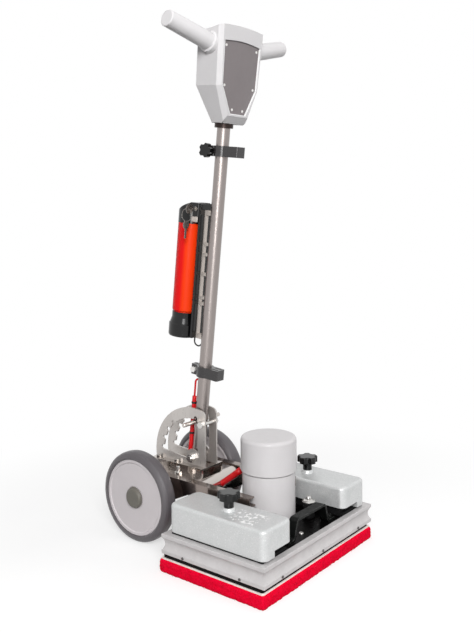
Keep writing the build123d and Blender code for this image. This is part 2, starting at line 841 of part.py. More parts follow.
with BuildPart() as chassis_bolts:
    for sign in (-1, 1):
        bolt_x = sign * (arm_inner_x - arm_top_flange - 0.6 * plate_bolt_flats)
        for bolt_y in (bracket_front_y + plate_bolt_front, bracket_rear_y - plate_bolt_rear):
            hexagon(level(plate_top_z, bolt_y, bolt_x), plate_bolt_flats, plate_bolt_height)
            disc(level(plate_top_z, bolt_y, bolt_x), plate_stud_radius, plate_bolt_height + plate_stud_rise)
        bolt_x = sign * (bracket_half + quadrant_face_x) / 2
        for bolt_y in (bracket_rear_y - bracket_bolt_front, bracket_rear_y - bracket_bolt_rear):
            hexagon(level(bracket_top_z, bolt_y, bolt_x), bracket_bolt_flats, bracket_bolt_height)
    hexagon(sideways(-quadrant_face_x - pivot_nut, pivot_y, pivot_z), pivot_bolt_flats, pivot_nut)
    disc(sideways(-quadrant_face_x - pivot_nut, pivot_y, pivot_z), pivot_radius + press_gap, pivot_nut,
         Mode.SUBTRACT)
    disc(sideways(-quadrant_face_x, stop_at.Y, stop_at.Z), stop_bolt_radius, 2 * quadrant_face_x)
    hexagon(sideways(quadrant_face_x, stop_at.Y, stop_at.Z), stop_bolt_flats, stop_bolt_head)
    hexagon(sideways(-quadrant_face_x - stop_bolt_head, stop_at.Y, stop_at.Z), stop_bolt_flats,
            stop_bolt_head)
save(chassis_bolts, "chassis_bolts")

# Axle, bushes and wheels

with BuildPart() as axle:
    disc(sideways(-disc_face_x + 2, axle_y, wheel_radius), axle_radius, 2 * disc_face_x - 4)
save(axle, "axle")

with BuildPart() as axle_bushes:
    for sign in (-1, 1):
        length = disc_face_x - 4 - arm_web_x
        low_x = arm_web_x if sign > 0 else -arm_web_x - length
        flange_x = arm_web_x if sign > 0 else -arm_web_x - bush_flange_thick
        disc(sideways(low_x, axle_y, wheel_radius), bush_radius, length)
        disc(sideways(flange_x, axle_y, wheel_radius), bush_radius + bush_flange, bush_flange_thick)
        disc(sideways(low_x, axle_y, wheel_radius), axle_radius + press_gap, length, Mode.SUBTRACT)
save(axle_bushes, "axle_bushes")


def turned(sign, points):
    """A solid of revolution about the axle; points are (x outward, radius)."""
    with BuildPart() as body:
        with BuildSketch(Plane(origin=(0, axle_y, wheel_radius), x_dir=(sign, 0, 0), z_dir=(0, -sign, 0))):
            with BuildLine():
                Polyline(*points, close=True)
            make_face()
        revolve(axis=Axis((0, axle_y, wheel_radius), (1, 0, 0)))
    return body


hub_bore = bush_radius + running_clearance
hub_inner_x = arm_web_x + bush_flange_thick + 1
dish_x = disc_face_x - disc_dish
disc_profile = ((hub_inner_x, hub_bore), (dish_x - 1, hub_bore), (dish_x - 1, hub_cap_radius + 2),
                (dish_x, hub_cap_radius + 4), (dish_x, disc_radius - disc_rim),
                (disc_face_x, disc_radius - disc_rim + disc_dish),
                (disc_face_x, disc_radius - 1.5), (disc_face_x - 1.5, disc_radius),
                (tyre_inner_x + 4, disc_radius), (tyre_inner_x + 4, disc_radius - 7),
                (disc_web_x, disc_radius - disc_rim - 2), (disc_web_x, hub_radius + 4),
                (hub_inner_x, hub_radius))
tread_mid = (tyre_inner_x + tyre_outer_x) / 2
shoulder = ((tread_half, 0.0), (tread_half + 6, 1.2), (tread_half + 10.5, 4.2), (tread_half + 13.5, 8.5))
tyre_profile = ((tyre_inner_x + 2.5, disc_radius), (tyre_outer_x - 2.5, disc_radius),
                (tyre_outer_x, disc_radius + 4),
                *((tread_mid + half, wheel_radius - fall) for half, fall in reversed(shoulder)),
                *((tread_mid - half, wheel_radius - fall) for half, fall in shoulder),
                (tyre_inner_x, disc_radius + 4))
cap_profile = ((dish_x, 0.0), (dish_x, hub_cap_radius + 2), (disc_face_x, hub_cap_radius + 2),
               (hub_cap_face_x - 2.5, hub_cap_radius), (hub_cap_face_x - 0.8, hub_cap_radius - 2),
               (hub_cap_face_x, hub_cap_radius - 5), (hub_cap_face_x, 0.0))

for sign, side in ((-1, "left"), (1, "right")):
    save(turned(sign, disc_profile), f"wheel_disc_{side}")
    save(turned(sign, tyre_profile), f"tyre_{side}")
    save(turned(sign, cap_profile), f"hub_cap_{side}")

# Mast tube with its pivot sleeve and collar

with BuildPart() as mast_tube:
    disc(across(-tube_low), tube_radius, tube_top_s + tube_low)
    disc(across(collar_low_s), collar_radius, head_low_s - collar_low_s)
    disc(across(-tube_low), tube_radius - tube_wall, tube_top_s + tube_low, Mode.SUBTRACT)
    sleeve_half = quadrant_inner_x - sleeve_gap
    disc(beside(-sleeve_half), sleeve_radius, 2 * sleeve_half)
    disc(beside(-sleeve_half), pivot_radius + running_clearance, 2 * sleeve_half, Mode.SUBTRACT)
    with BuildSketch(beside(-2 * tube_radius)):
        with Locations(Location((0, lock_rest_s + lock_travel / 2, 0), (0, 0, 90))):
            SlotOverall(lock_travel + 2 * lock_bar_radius + 1.2, 2 * lock_bar_radius + 0.8)
    extrude(amount=4 * tube_radius, mode=Mode.SUBTRACT)
    lead_dir = (rear * cable_n + Vector(cable_x, 0, 0)).normalized()
    disc(Plane(origin=mast_point(0, 0, mast_lead_s), z_dir=lead_dir), lead_radius + lead_hole_gap,
         2 * tube_radius, Mode.SUBTRACT)
    lead_in, lead_out = mast_point(*battery_lead_path[-1]), mast_point(*battery_lead_path[-2])
    disc(Plane(origin=lead_in, z_dir=lead_out - lead_in), battery_lead_radius + lead_hole_gap,
         (lead_out - lead_in).length, Mode.SUBTRACT)
save(mast_tube, "mast_tube")

# Clamps with slotted front blocks and split rear ears


def clamp(s_middle, block_front):
    low = s_middle - clamp_height / 2
    with BuildPart() as body:
        disc(across(low), tube_radius + clamp_band, clamp_height)
        with BuildSketch(across(low)) as block:
            with Locations((0, -block_front / 2)):
                Rectangle(2 * clamp_block_half, block_front)
            fillet(block.vertices().group_by(Axis.Y)[0], 4)
            with Locations((0, clamp_ear_rear / 2)):
                RectangleRounded(2 * clamp_ear_half, clamp_ear_rear, 3)
        extrude(amount=clamp_height)
        with BuildSketch(across(low)):
            Circle(tube_radius + running_clearance)
            with Locations((0, clamp_ear_rear / 2 + 2)):
                Rectangle(clamp_split, clamp_ear_rear)
        extrude(amount=clamp_height, mode=Mode.SUBTRACT)
        with BuildSketch(across(low + clamp_height)):
            for slot_x in (-7, 7):
                with Locations((slot_x, -(tube_radius + clamp_band + block_front) / 2)):
                    Rectangle(3.6, block_front - tube_radius - clamp_band - 8)
        extrude(amount=-14, mode=Mode.SUBTRACT)
        with BuildSketch(beside(-20)):
            with Locations((clamp_screw_n, s_middle)):
                Circle(4 + running_clearance)
        extrude(amount=40, mode=Mode.SUBTRACT)
    return body


save(clamp(lower_clamp_s, lower_block_front), "lower_clamp")
save(clamp(upper_clamp_s, upper_block_front), "upper_clamp")


def clamp_axis(x, s_middle):
    return Plane(origin=mast_point(x, clamp_screw_n, s_middle), x_dir=rear, z_dir=(1, 0, 0))


with BuildPart() as clamp_knob:
    star(clamp_axis(-clamp_knob_outer_x, upper_clamp_s), clamp_knob_radius, knob_lobes,
         clamp_knob_outer_x - clamp_knob_inner_x)
    disc(clamp_axis(-clamp_knob_inner_x, upper_clamp_s), 7, clamp_knob_inner_x - clamp_ear_half - 0.3)
    disc(clamp_axis(-clamp_knob_inner_x, upper_clamp_s), 4, clamp_knob_inner_x + clamp_ear_half + 4)
save(clamp_knob, "clamp_knob")

# Battery rail, dock, base, can and cap

with BuildPart() as battery_rail:
    with BuildSketch(beside(-rail_half)):
        middle_s = (rail_low_s + rail_high_s) / 2
        with Locations(((rail_inner_n + rail_outer_n) / 2, middle_s)):
            Rectangle(rail_outer_n - rail_inner_n, rail_high_s - rail_low_s)
        tab_n = (tube_radius + 0.1 + rail_inner_n) / 2
        tab_width = rail_inner_n - tube_radius - 0.1
        for tab_s in rail_tabs:
            with Locations((tab_n, tab_s)):
                Rectangle(tab_width, 7)
        for tab_s in (rail_low_s + 6, rail_high_s - 6):
            with Locations((tab_n, tab_s)):
                Rectangle(tab_width, 12)
    extrude(amount=2 * rail_half)
save(battery_rail, "battery_rail")


def around_battery(points):
    """A solid of revolution about the battery's axis; points are (radius, s)."""
    plane = Plane(origin=mast_point(0, battery_n, 0), x_dir=(1, 0, 0), z_dir=-rear)
    with BuildSketch(plane) as profile:
        with BuildLine():
            Polyline(*points, close=True)
        make_face()
    revolve(profile.sketch, axis=Axis(mast_point(0, battery_n, 0), along))


socket = spigot_radius + 0.4

with BuildPart() as battery_dock:
    dock_low_s = drum_low_s + dock_rise
    with BuildSketch(facing(rail_outer_n)) as plate:
        with Locations((0, (dock_low_s + dock_high_s) / 2)):
            Rectangle(2 * dock_half, dock_high_s - dock_low_s)
        fillet(plate.vertices().group_by(Axis.Y)[-1], dock_round)
    extrude(amount=-dock_plate)
    with BuildSketch(across(dock_low_s)):
        with Locations((0, (rail_outer_n + dock_outer_n) / 2)):
            Rectangle(2 * dock_rib_half, dock_outer_n - rail_outer_n)
    extrude(amount=dock_high_s - dock_rib_drop - dock_low_s)
    around_battery(((0, drum_low_s), (drum_radius - drum_round, drum_low_s),
                    (drum_radius - 1.5, drum_low_s + 1.5), (drum_radius, drum_low_s + drum_round),
                    (drum_radius, drum_high_s - 2), (drum_radius - 2, drum_high_s),
                    (base_neck_radius, base_top_s - base_neck), (base_neck_radius, base_top_s),
                    (socket, base_top_s), (socket, can_low_s - spigot_depth - 0.5),
                    (0, can_low_s - spigot_depth - 0.5)))
    disc(across(can_low_s - spigot_depth - 0.5, battery_n), socket, 60, Mode.SUBTRACT)
    disc(across(base_top_s, battery_n), can_radius + 1, 300, Mode.SUBTRACT)
    split(bisect_by=Plane(origin=mast_point(0, rail_outer_n, 0), x_dir=(1, 0, 0), z_dir=rear), keep=Keep.TOP)
save(battery_dock, "battery_dock")

with BuildPart() as battery_can:
    around_battery(((0, can_low_s - spigot_depth), (spigot_radius, can_low_s - spigot_depth),
                    (spigot_radius, can_low_s), (can_radius - 1.5, can_low_s), (can_radius, can_low_s + 1.5),
                    (can_radius, can_high_s), (0, can_high_s)))
save(battery_can, "battery_can")

with BuildPart() as battery_cap:
    around_battery(((0, can_high_s), (can_radius + 0.6, can_high_s), (can_radius + 0.6, cap_top_s - 9),
                    (can_radius - 2, cap_top_s - 4), (can_radius - 7, cap_top_s), (0, cap_top_s)))
    latch_n = rail_outer_n + dock_plate + latch_gap
    with BuildSketch(across(can_high_s + latch_drop)) as latch:
        with Locations((0, (latch_n + battery_n) / 2)):
            Rectangle(2 * latch_half, battery_n - latch_n)
        fillet(latch.vertices().group_by(Axis.Y)[0], latch_round)
        with Locations((0, dock_outer_n / 2 + latch_gap)):
            Rectangle(2 * (dock_rib_half + latch_gap), dock_outer_n, mode=Mode.SUBTRACT)
    extrude(amount=cap_top_s - latch_drop - can_high_s)
    slope = Vector(0, 0, 0) + rear * 50 + along * (cap_cut_s - cap_top_s)
    split(bisect_by=Plane(origin=mast_point(0, battery_n - 15, cap_top_s), x_dir=(1, 0, 0),
                          z_dir=Vector(1, 0, 0).cross(slope)), keep=Keep.BOTTOM)
    with BuildSketch(beside(-2 * lock_plug_face_x)):
        with Locations((lock_plug_n, lock_plug_s)):
            Circle(lock_plug_radius + running_clearance)
    extrude(amount=2 * lock_plug_face_x - lock_plug_depth, mode=Mode.SUBTRACT)
save(battery_cap, "battery_cap")

key_plane = Plane(origin=mast_point(0, lock_plug_n, lock_plug_s), x_dir=(-1, 0, 0), z_dir=rear)

with BuildPart() as battery_key:
    with BuildSketch(beside(-lock_plug_face_x)):
        with Locations((lock_plug_n, lock_plug_s)):
            Circle(lock_plug_radius)
    extrude(amount=lock_plug_face_x - lock_plug_depth - rest_gap)
    with BuildSketch(key_plane):
        with Locations((lock_plug_face_x + key_head_reach / 2, 0)):
            Rectangle(key_head_reach, key_blade)
        with Locations((lock_plug_face_x + key_head_reach, 0)):
            Circle(key_head_radius)
        with Locations((lock_plug_face_x + key_hole_reach, 0)):
            Circle(key_hole, mode=Mode.SUBTRACT)
    extrude(amount=key_thick / 2, both=True)
save(battery_key, "battery_key")

ring_x = -(lock_plug_face_x + key_hole_reach)
ring_s = lock_plug_s - ring_radius
spare_s = ring_s - ring_radius

with BuildPart() as key_ring:
    with BuildSketch(facing(lock_plug_n)):
        with Locations((ring_x, ring_s + ring_radius)):
            Circle(ring_wire)
    revolve(axis=Axis(mast_point(ring_x, lock_plug_n, ring_s), (1, 0, 0)))
    with BuildSketch(facing(lock_plug_n)):
        with Locations((ring_x, spare_s - spare_head_drop)):
            Circle(spare_head_radius)
        with Locations((ring_x, spare_s - spare_blade)):
            Rectangle(key_blade - 2, spare_blade)
        with Locations((ring_x, spare_s)):
            Circle(key_hole, mode=Mode.SUBTRACT)
    extrude(amount=key_thick / 2, both=True)
save(key_ring, "key_ring")

# Cables held by the mast and by the chassis

def mast_route(points):
    return [tuple(mast_point(*p)) for p in points]


mast_lead = cord(mast_route(((0.15 * cable_x, 0.15 * cable_n, mast_lead_s), (cable_x, cable_n, mast_lead_s),
                             (cable_x, cable_n, sleeve_top_s))), lead_radius, "mast_lead")

mast_cable = cord(mast_route(((cable_x, cable_n, sleeve_top_s), (cable_x, cable_n, sleeve_low_s))),
                  sleeve_cable_radius, "mast_cable")
save(mast_cable, "mast_cable")

battery_lead = cord(mast_route(battery_lead_path), battery_lead_radius, "battery_lead")

with BuildPart() as mast_leads:
    add(mast_lead.part)
    add(battery_lead.part)
    for tie_s in cable_ties:
        with BuildSketch(across(tie_s)):
            with Locations((cable_x, cable_n)):
                Circle(sleeve_cable_radius + tie_thick)
                Circle(sleeve_cable_radius, mode=Mode.SUBTRACT)
        extrude(amount=tie_height)
save(mast_leads, "mast_leads")

motor_cable = cord([(cable_x, slot_cable_y, plate_top_z + 2), (cable_x, slot_cable_y, 106),
                    tuple(cable_low), tuple(cable_end)], motor_cable_radius, "motor_cable")
save(motor_cable, "motor_cable")

# Control head


def cut_away(corner, second, third, inside):
    """Keeps the side of the plane through three corners that holds the inside point."""
    normal = (second - corner).cross(third - corner)
    if (inside - corner).dot(normal) > 0:
        normal = normal * -1
    split(bisect_by=Plane(origin=corner, x_dir=second - corner, z_dir=normal), keep=Keep.BOTTOM)


def head_outline():
    """The front view, its sides carried up past the top."""
    over = 2 * head_arch
    over_half = head_top_half + over * (head_top_half - head_kink_half) / (head_top_s - head_kink_s)
    Polyline((-over_half, head_top_s + over), (-head_kink_half, head_kink_s), (-head_low_half, head_low_s),
             (head_low_half, head_low_s), (head_kink_half, head_kink_s), (over_half, head_top_s + over),
             close=True)


def above_top():
    """The space over the arched top, wider and higher than the outline."""
    side, high = head_top_half + head_arch, head_top_s + 8 * head_arch
    ThreePointArc((head_top_half, head_top_s), (0, head_top_s + head_arch), (-head_top_half, head_top_s))
    Polyline((-head_top_half, head_top_s), (-side, head_top_s), (-side, high), (side, high),
             (side, head_top_s), (head_top_half, head_top_s))


def cover_outline():
    low_s = head_kink_s + cover_inset
    top_half, low_half = head_top_half - 1.5 * cover_inset, head_kink_half - cover_inset
    Polyline((-top_half, cover_top_s), (-low_half, low_s), (low_half, low_s), (top_half, cover_top_s))
    ThreePointArc((top_half, cover_top_s), (0, cover_top_s + head_arch), (-top_half, cover_top_s))


def panel_outline(gap):
    Polyline((-panel_top_half - gap, panel_top_s + gap), (-panel_kink_half - gap, panel_kink_s),
             (-panel_low_half - gap, panel_low_s - gap), (panel_low_half + gap, panel_low_s - gap),
             (panel_kink_half + gap, panel_kink_s), (panel_top_half + gap, panel_top_s + gap))
    ThreePointArc((panel_top_half + gap, panel_top_s + gap), (0, panel_top_s + panel_arch + gap),
                  (-panel_top_half - gap, panel_top_s + gap))


def side_edges(face):
    """The slanted edges down both sides of the head's front."""
    return [e for e in face.edges() if head_lip_s + 1 < (e.center() - pivot).dot(along) < head_top_s - 8]


pocket_x = rocker_half_x + 1.0
pocket_s = rocker_half_s + rocker_gap
pocket_floor = 10.0

with BuildPart() as head_housing:
    with BuildSketch(facing(head_rear_n)):
        with BuildLine():
            head_outline()
        make_face()
    extrude(amount=head_rear_n + head_front_n)
    with BuildSketch(facing(-head_front_n)) as waste:
        with BuildLine():
            above_top()
        make_face()
    extrude(waste.sketch, amount=head_rear_n + head_front_n + head_arch, dir=rear - along * head_top_fall,
            mode=Mode.SUBTRACT)
    middle = mast_point(0, 0, head_kink_s)
    cut_away(mast_point(0, -head_front_n, head_lip_s), mast_point(1, -head_front_n, head_lip_s),
             mast_point(0, -head_lip_n, head_low_s), middle)
    cut_away(mast_point(0, head_rear_n, head_kink_s), mast_point(1, head_rear_n, head_kink_s),
             mast_point(0, head_heel_n, head_low_s), middle)
    for sign in (-1, 1):
        cut_away(mast_point(sign * head_kink_half, head_rear_n, head_kink_s),
                 mast_point(sign * head_low_half, head_cheek_n, head_low_s),
                 mast_point(sign * head_heel_half, head_heel_n, head_low_s), middle)
    front_face = head_housing.faces().sort_by(Axis((0, 0, 0), -rear))[-1]
    chamfer(side_edges(front_face), head_chamfer)
    with BuildSketch(facing(-head_front_n)):
        with BuildLine():
            panel_outline(panel_gap)
        make_face()
    extrude(amount=-panel_recess, mode=Mode.SUBTRACT)
    disc(across(head_low_s - 1), tube_radius + running_clearance, tube_top_s + 1.3 - head_low_s,
         Mode.SUBTRACT)
    with BuildSketch(facing(head_rear_n)):
        with Locations((0, rocker_s)):
            Rectangle(2 * pocket_x, 2 * pocket_s)
    extrude(amount=head_rear_n - pocket_floor, mode=Mode.SUBTRACT)
    with BuildSketch(beside(-pocket_x - 3)):
        with Locations((rocker_axis_n, rocker_s)):
            Circle(rocker_pin_radius + running_clearance)
    extrude(amount=2 * pocket_x + 6, mode=Mode.SUBTRACT)
save(head_housing, "head_housing")

with BuildPart() as head_cover:
    with BuildSketch(facing(head_rear_n)):
        with BuildLine():
            cover_outline()
        make_face()
        with Locations((0, rocker_s)):
            Rectangle(2 * pocket_x, 2 * pocket_s, mode=Mode.SUBTRACT)
    extrude(amount=-cover_thick)
    rear_face = head_cover.faces().sort_by(Axis((0, 0, 0), rear))[-1]
    chamfer(rear_face.outer_wire().edges(), cover_thick - 1)
save(head_cover, "head_cover")

with BuildPart() as head_panel:
    with BuildSketch(facing(-head_front_n + panel_recess)):
        with BuildLine():
            panel_outline(0)
        make_face()
    extrude(amount=panel_thick)
save(head_panel, "head_panel")

panel_face_n = -head_front_n + panel_recess - panel_thick
with BuildPart() as mast_screws:
    with BuildSketch(facing(panel_face_n)):
        for screw_x, screw_s in ((panel_top_half, panel_top_s - panel_screw_inset),
                                 (panel_kink_half, panel_kink_s),
                                 (panel_low_half, panel_low_s + panel_screw_inset)):
            inward = screw_x - panel_screw_inset
            with Locations((inward, screw_s), (-inward, screw_s)):
                Circle(panel_screw_radius)
    extrude(amount=panel_screw_height)
    disc(clamp_axis(-clamp_ear_half, lower_clamp_s), 4, 2 * clamp_ear_half)
    hexagon(clamp_axis(-clamp_ear_half - 5.5, lower_clamp_s), 13, 5.5)
    hexagon(clamp_axis(clamp_ear_half, lower_clamp_s), 13, 6.5)
save(mast_screws, "mast_screws")

rocker_face = head_rear_n + cover_thick + rocker_proud - rocker_axis_n
rocker_turn = radians(-rocker_tilt)
rocker_plane = Plane(origin=mast_point(0, rocker_axis_n, rocker_s), z_dir=(1, 0, 0),
                     x_dir=rear * cos(rocker_turn) + along * sin(rocker_turn))

with BuildPart() as switch_rocker:
    with BuildSketch(rocker_plane):
        with BuildLine():
            Polyline((-5, -5), (rocker_face, -rocker_half_s), (rocker_face - 2, 0),
                     (rocker_face, rocker_half_s), (-5, 5), close=True)
        make_face()
    extrude(amount=rocker_half_x, both=True)
    with BuildSketch(rocker_plane):
        Circle(rocker_pin_radius)
    extrude(amount=pocket_x + 2.5, both=True)
save(switch_rocker, "switch_rocker")

# Hand grips, cut to seat on the head's slanted sides
reach_x, reach_n, reach_s = grip_reach
reach = hypot(reach_x, reach_n, reach_s)


def grip(sign):
    direction = (Vector(sign * reach_x, 0, 0) + rear * reach_n + along * reach_s).normalized()
    start = mast_point(sign * grip_base_x, grip_base_n, grip_base_s) - direction * 25
    wall_top = mast_point(sign * head_top_half, 0, head_top_s)
    wall_low = mast_point(sign * head_kink_half, 0, head_kink_s)
    normal = (wall_top - wall_low).cross(rear) * sign
    if normal.X * sign < 0:
        normal = normal * -1
    with BuildPart() as body:
        with BuildSketch(Plane(origin=start, z_dir=direction)):
            Circle(grip_base_radius)
        with BuildSketch(Plane(origin=start + direction * (reach + 25), z_dir=direction)):
            Circle(grip_end_radius)
        loft()
        end_face = body.faces().sort_by(Axis((0, 0, 0), direction))[-1]
        fillet(end_face.edges(), grip_end_round)
        disc(Plane(origin=start, z_dir=direction), grip_collar_radius, 25 + grip_collar_length)
        collar_edge = body.edges().filter_by(GeomType.CIRCLE).group_by(SortBy.RADIUS)[-1]
        fillet(collar_edge.sort_by(Axis(start, direction))[-1], grip_collar_round)
        split(bisect_by=Plane(origin=wall_low, z_dir=normal), keep=Keep.TOP)
    return body


for sign, side in ((-1, "left"), (1, "right")):
    save(grip(sign), f"grip_{side}")
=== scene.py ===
import json
import math
import random

import bmesh
import bpy
from mathutils import Matrix, Vector, noise


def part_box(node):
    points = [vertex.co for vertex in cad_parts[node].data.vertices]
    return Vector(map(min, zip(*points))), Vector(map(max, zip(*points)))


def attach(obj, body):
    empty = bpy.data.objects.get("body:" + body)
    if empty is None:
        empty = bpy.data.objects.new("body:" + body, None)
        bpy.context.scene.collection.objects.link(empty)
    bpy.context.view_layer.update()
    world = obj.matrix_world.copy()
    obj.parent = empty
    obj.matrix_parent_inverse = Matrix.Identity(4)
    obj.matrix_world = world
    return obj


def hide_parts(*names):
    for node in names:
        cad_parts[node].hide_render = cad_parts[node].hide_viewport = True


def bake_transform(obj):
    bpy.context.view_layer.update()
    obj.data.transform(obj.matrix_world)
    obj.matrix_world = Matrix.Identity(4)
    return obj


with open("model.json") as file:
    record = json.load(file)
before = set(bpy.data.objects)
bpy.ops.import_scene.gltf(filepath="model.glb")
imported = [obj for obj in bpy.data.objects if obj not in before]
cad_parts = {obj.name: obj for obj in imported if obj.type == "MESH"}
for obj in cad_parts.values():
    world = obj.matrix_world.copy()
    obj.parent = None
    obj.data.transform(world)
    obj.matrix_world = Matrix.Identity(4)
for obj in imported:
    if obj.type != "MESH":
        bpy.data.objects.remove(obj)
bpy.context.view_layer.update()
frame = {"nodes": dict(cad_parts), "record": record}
nodes = frame["nodes"]
scene = bpy.context.scene
scene.view_settings.view_transform = "Standard"

# The mast's frame, in metres: pivot, direction up the mast and direction to its rear

LEAN = math.radians(6.44)
PIVOT = Vector((0.0, 0.2148, 0.188))
ALONG = Vector((0.0, -math.sin(LEAN), math.cos(LEAN)))
REAR = Vector((0.0, math.cos(LEAN), math.sin(LEAN)))


def on_mast(x, n, s):
    """The point x across, n behind the mast's centre line and s up it from the pivot."""
    return PIVOT + Vector((x, 0, 0)) + REAR * n + ALONG * s


# Places on the mast, as distances up it from the pivot or behind its centre line

COLLAR_RING = 0.7952
HEAD_FRONT, FRONT_BAND = -0.0390, 0.007
PANEL_FOOT, PANEL_SHOULDER, PANEL_TOP = 0.828, 0.889, 0.986
FOOT_HALF, SHOULDER_HALF, TOP_SPREAD = 0.028, 0.061, 0.003
# RIM is the width of the painted highlight round the panel recess, RIM_FADE the width of its soft
# edge
RIM, RIM_FADE = 0.0014, 0.0004
BATTERY_CENTRE = 0.080
# Painted shading on the battery sleeve: towards this side it runs from orange into red over the
# span that follows
BATTERY_SHADE_SIDE = Vector((-0.62, 0, 0)) + REAR * 0.78
BATTERY_SHADE_FROM, BATTERY_SHADE_FULL = 0.006, 0.014

# Camera, fitted to the photograph in a 474 by 632 picture

IMAGE_HEIGHT = 632
FOCAL_PIXELS = 766.5
AXIS_ROW = 247.2
SENSOR = 24.0
EYE = Vector((-1.39152, -1.01924, 0.77590))
RIGHT = Vector((0.622689, -0.782421, -0.008718))
UP = Vector((0.038346, 0.019386, 0.999076))
AHEAD = Vector((0.781529, 0.622448, -0.042074))

camera_data = bpy.data.cameras.new("camera")
camera_data.sensor_fit = "VERTICAL"
camera_data.sensor_height = SENSOR
camera_data.lens = FOCAL_PIXELS * SENSOR / IMAGE_HEIGHT
camera_data.shift_y = (AXIS_ROW - IMAGE_HEIGHT / 2) / IMAGE_HEIGHT
camera = bpy.data.objects.new("camera", camera_data)
turn = Matrix((RIGHT, UP, -AHEAD)).transposed().to_4x4()
camera.matrix_world = Matrix.Translation(EYE) @ turn
scene.collection.objects.link(camera)
scene.camera = camera


# Materials

def srgb(red, green, blue):
    """Linear colour from the 0 to 255 values that a picture shows."""
    values = []
    for value in (red, green, blue):
        share = value / 255
        values.append(share / 12.92 if share <= 0.04045 else ((share + 0.055) / 1.055) ** 2.4)
    return (*values, 1.0)


WHITE = srgb(255, 255, 255)


def shifted(colour, by):
    """A picture colour made lighter or darker by a step."""
    return srgb(*(min(max(value + by, 0), 255) for value in colour))


class Tree:
    """Short ways to add nodes to a node tree."""

    def __init__(self, tree):
        self.tree = tree

    def node(self, kind, **values):
        """A new node, with values for its sockets or its own settings."""
        made = self.tree.nodes.new(kind)
        for key, value in values.items():
            if key in made.inputs:
                made.inputs[key].default_value = value
            else:
                setattr(made, key, value)
        return made

    def link(self, source, target):
        """Feeds one socket from another."""
        self.tree.links.new(source, target)

    def math(self, operation, first, second=0):
        """One operation on two values, each a number or a socket."""
        made = self.node("ShaderNodeMath", operation=operation)
        for socket, value in zip(made.inputs, (first, second)):
            if isinstance(value, (int, float)):
                socket.default_value = value
            else:
                self.link(value, socket)
        return made.outputs["Value"]

    def product(self, first, second):
        """Two masks multiplied, so 1 only where both are."""
        return self.math("MULTIPLY", first, second)

    def span(self, value, low, high, to_low=0.0, to_high=1.0, kind="LINEAR"):
        """The value's place between low and high, as a number from to_low to to_high."""
        made = self.node("ShaderNodeMapRange", interpolation_type=kind, clamp=True)
        self.link(value, made.inputs["Value"])
        ends = {"From Min": low, "From Max": high, "To Min": to_low, "To Max": to_high}
        for key, number in ends.items():
            made.inputs[key].default_value = number
        return made.outputs["Result"]

    def dot(self, first, second):
        """The dot product of a socket with another or with a fixed direction."""
        made = self.node("ShaderNodeVectorMath", operation="DOT_PRODUCT")
        self.link(first, made.inputs[0])
        if isinstance(second, Vector):
            made.inputs[1].default_value = second
        else:
            self.link(second, made.inputs[1])
        return made.outputs["Value"]


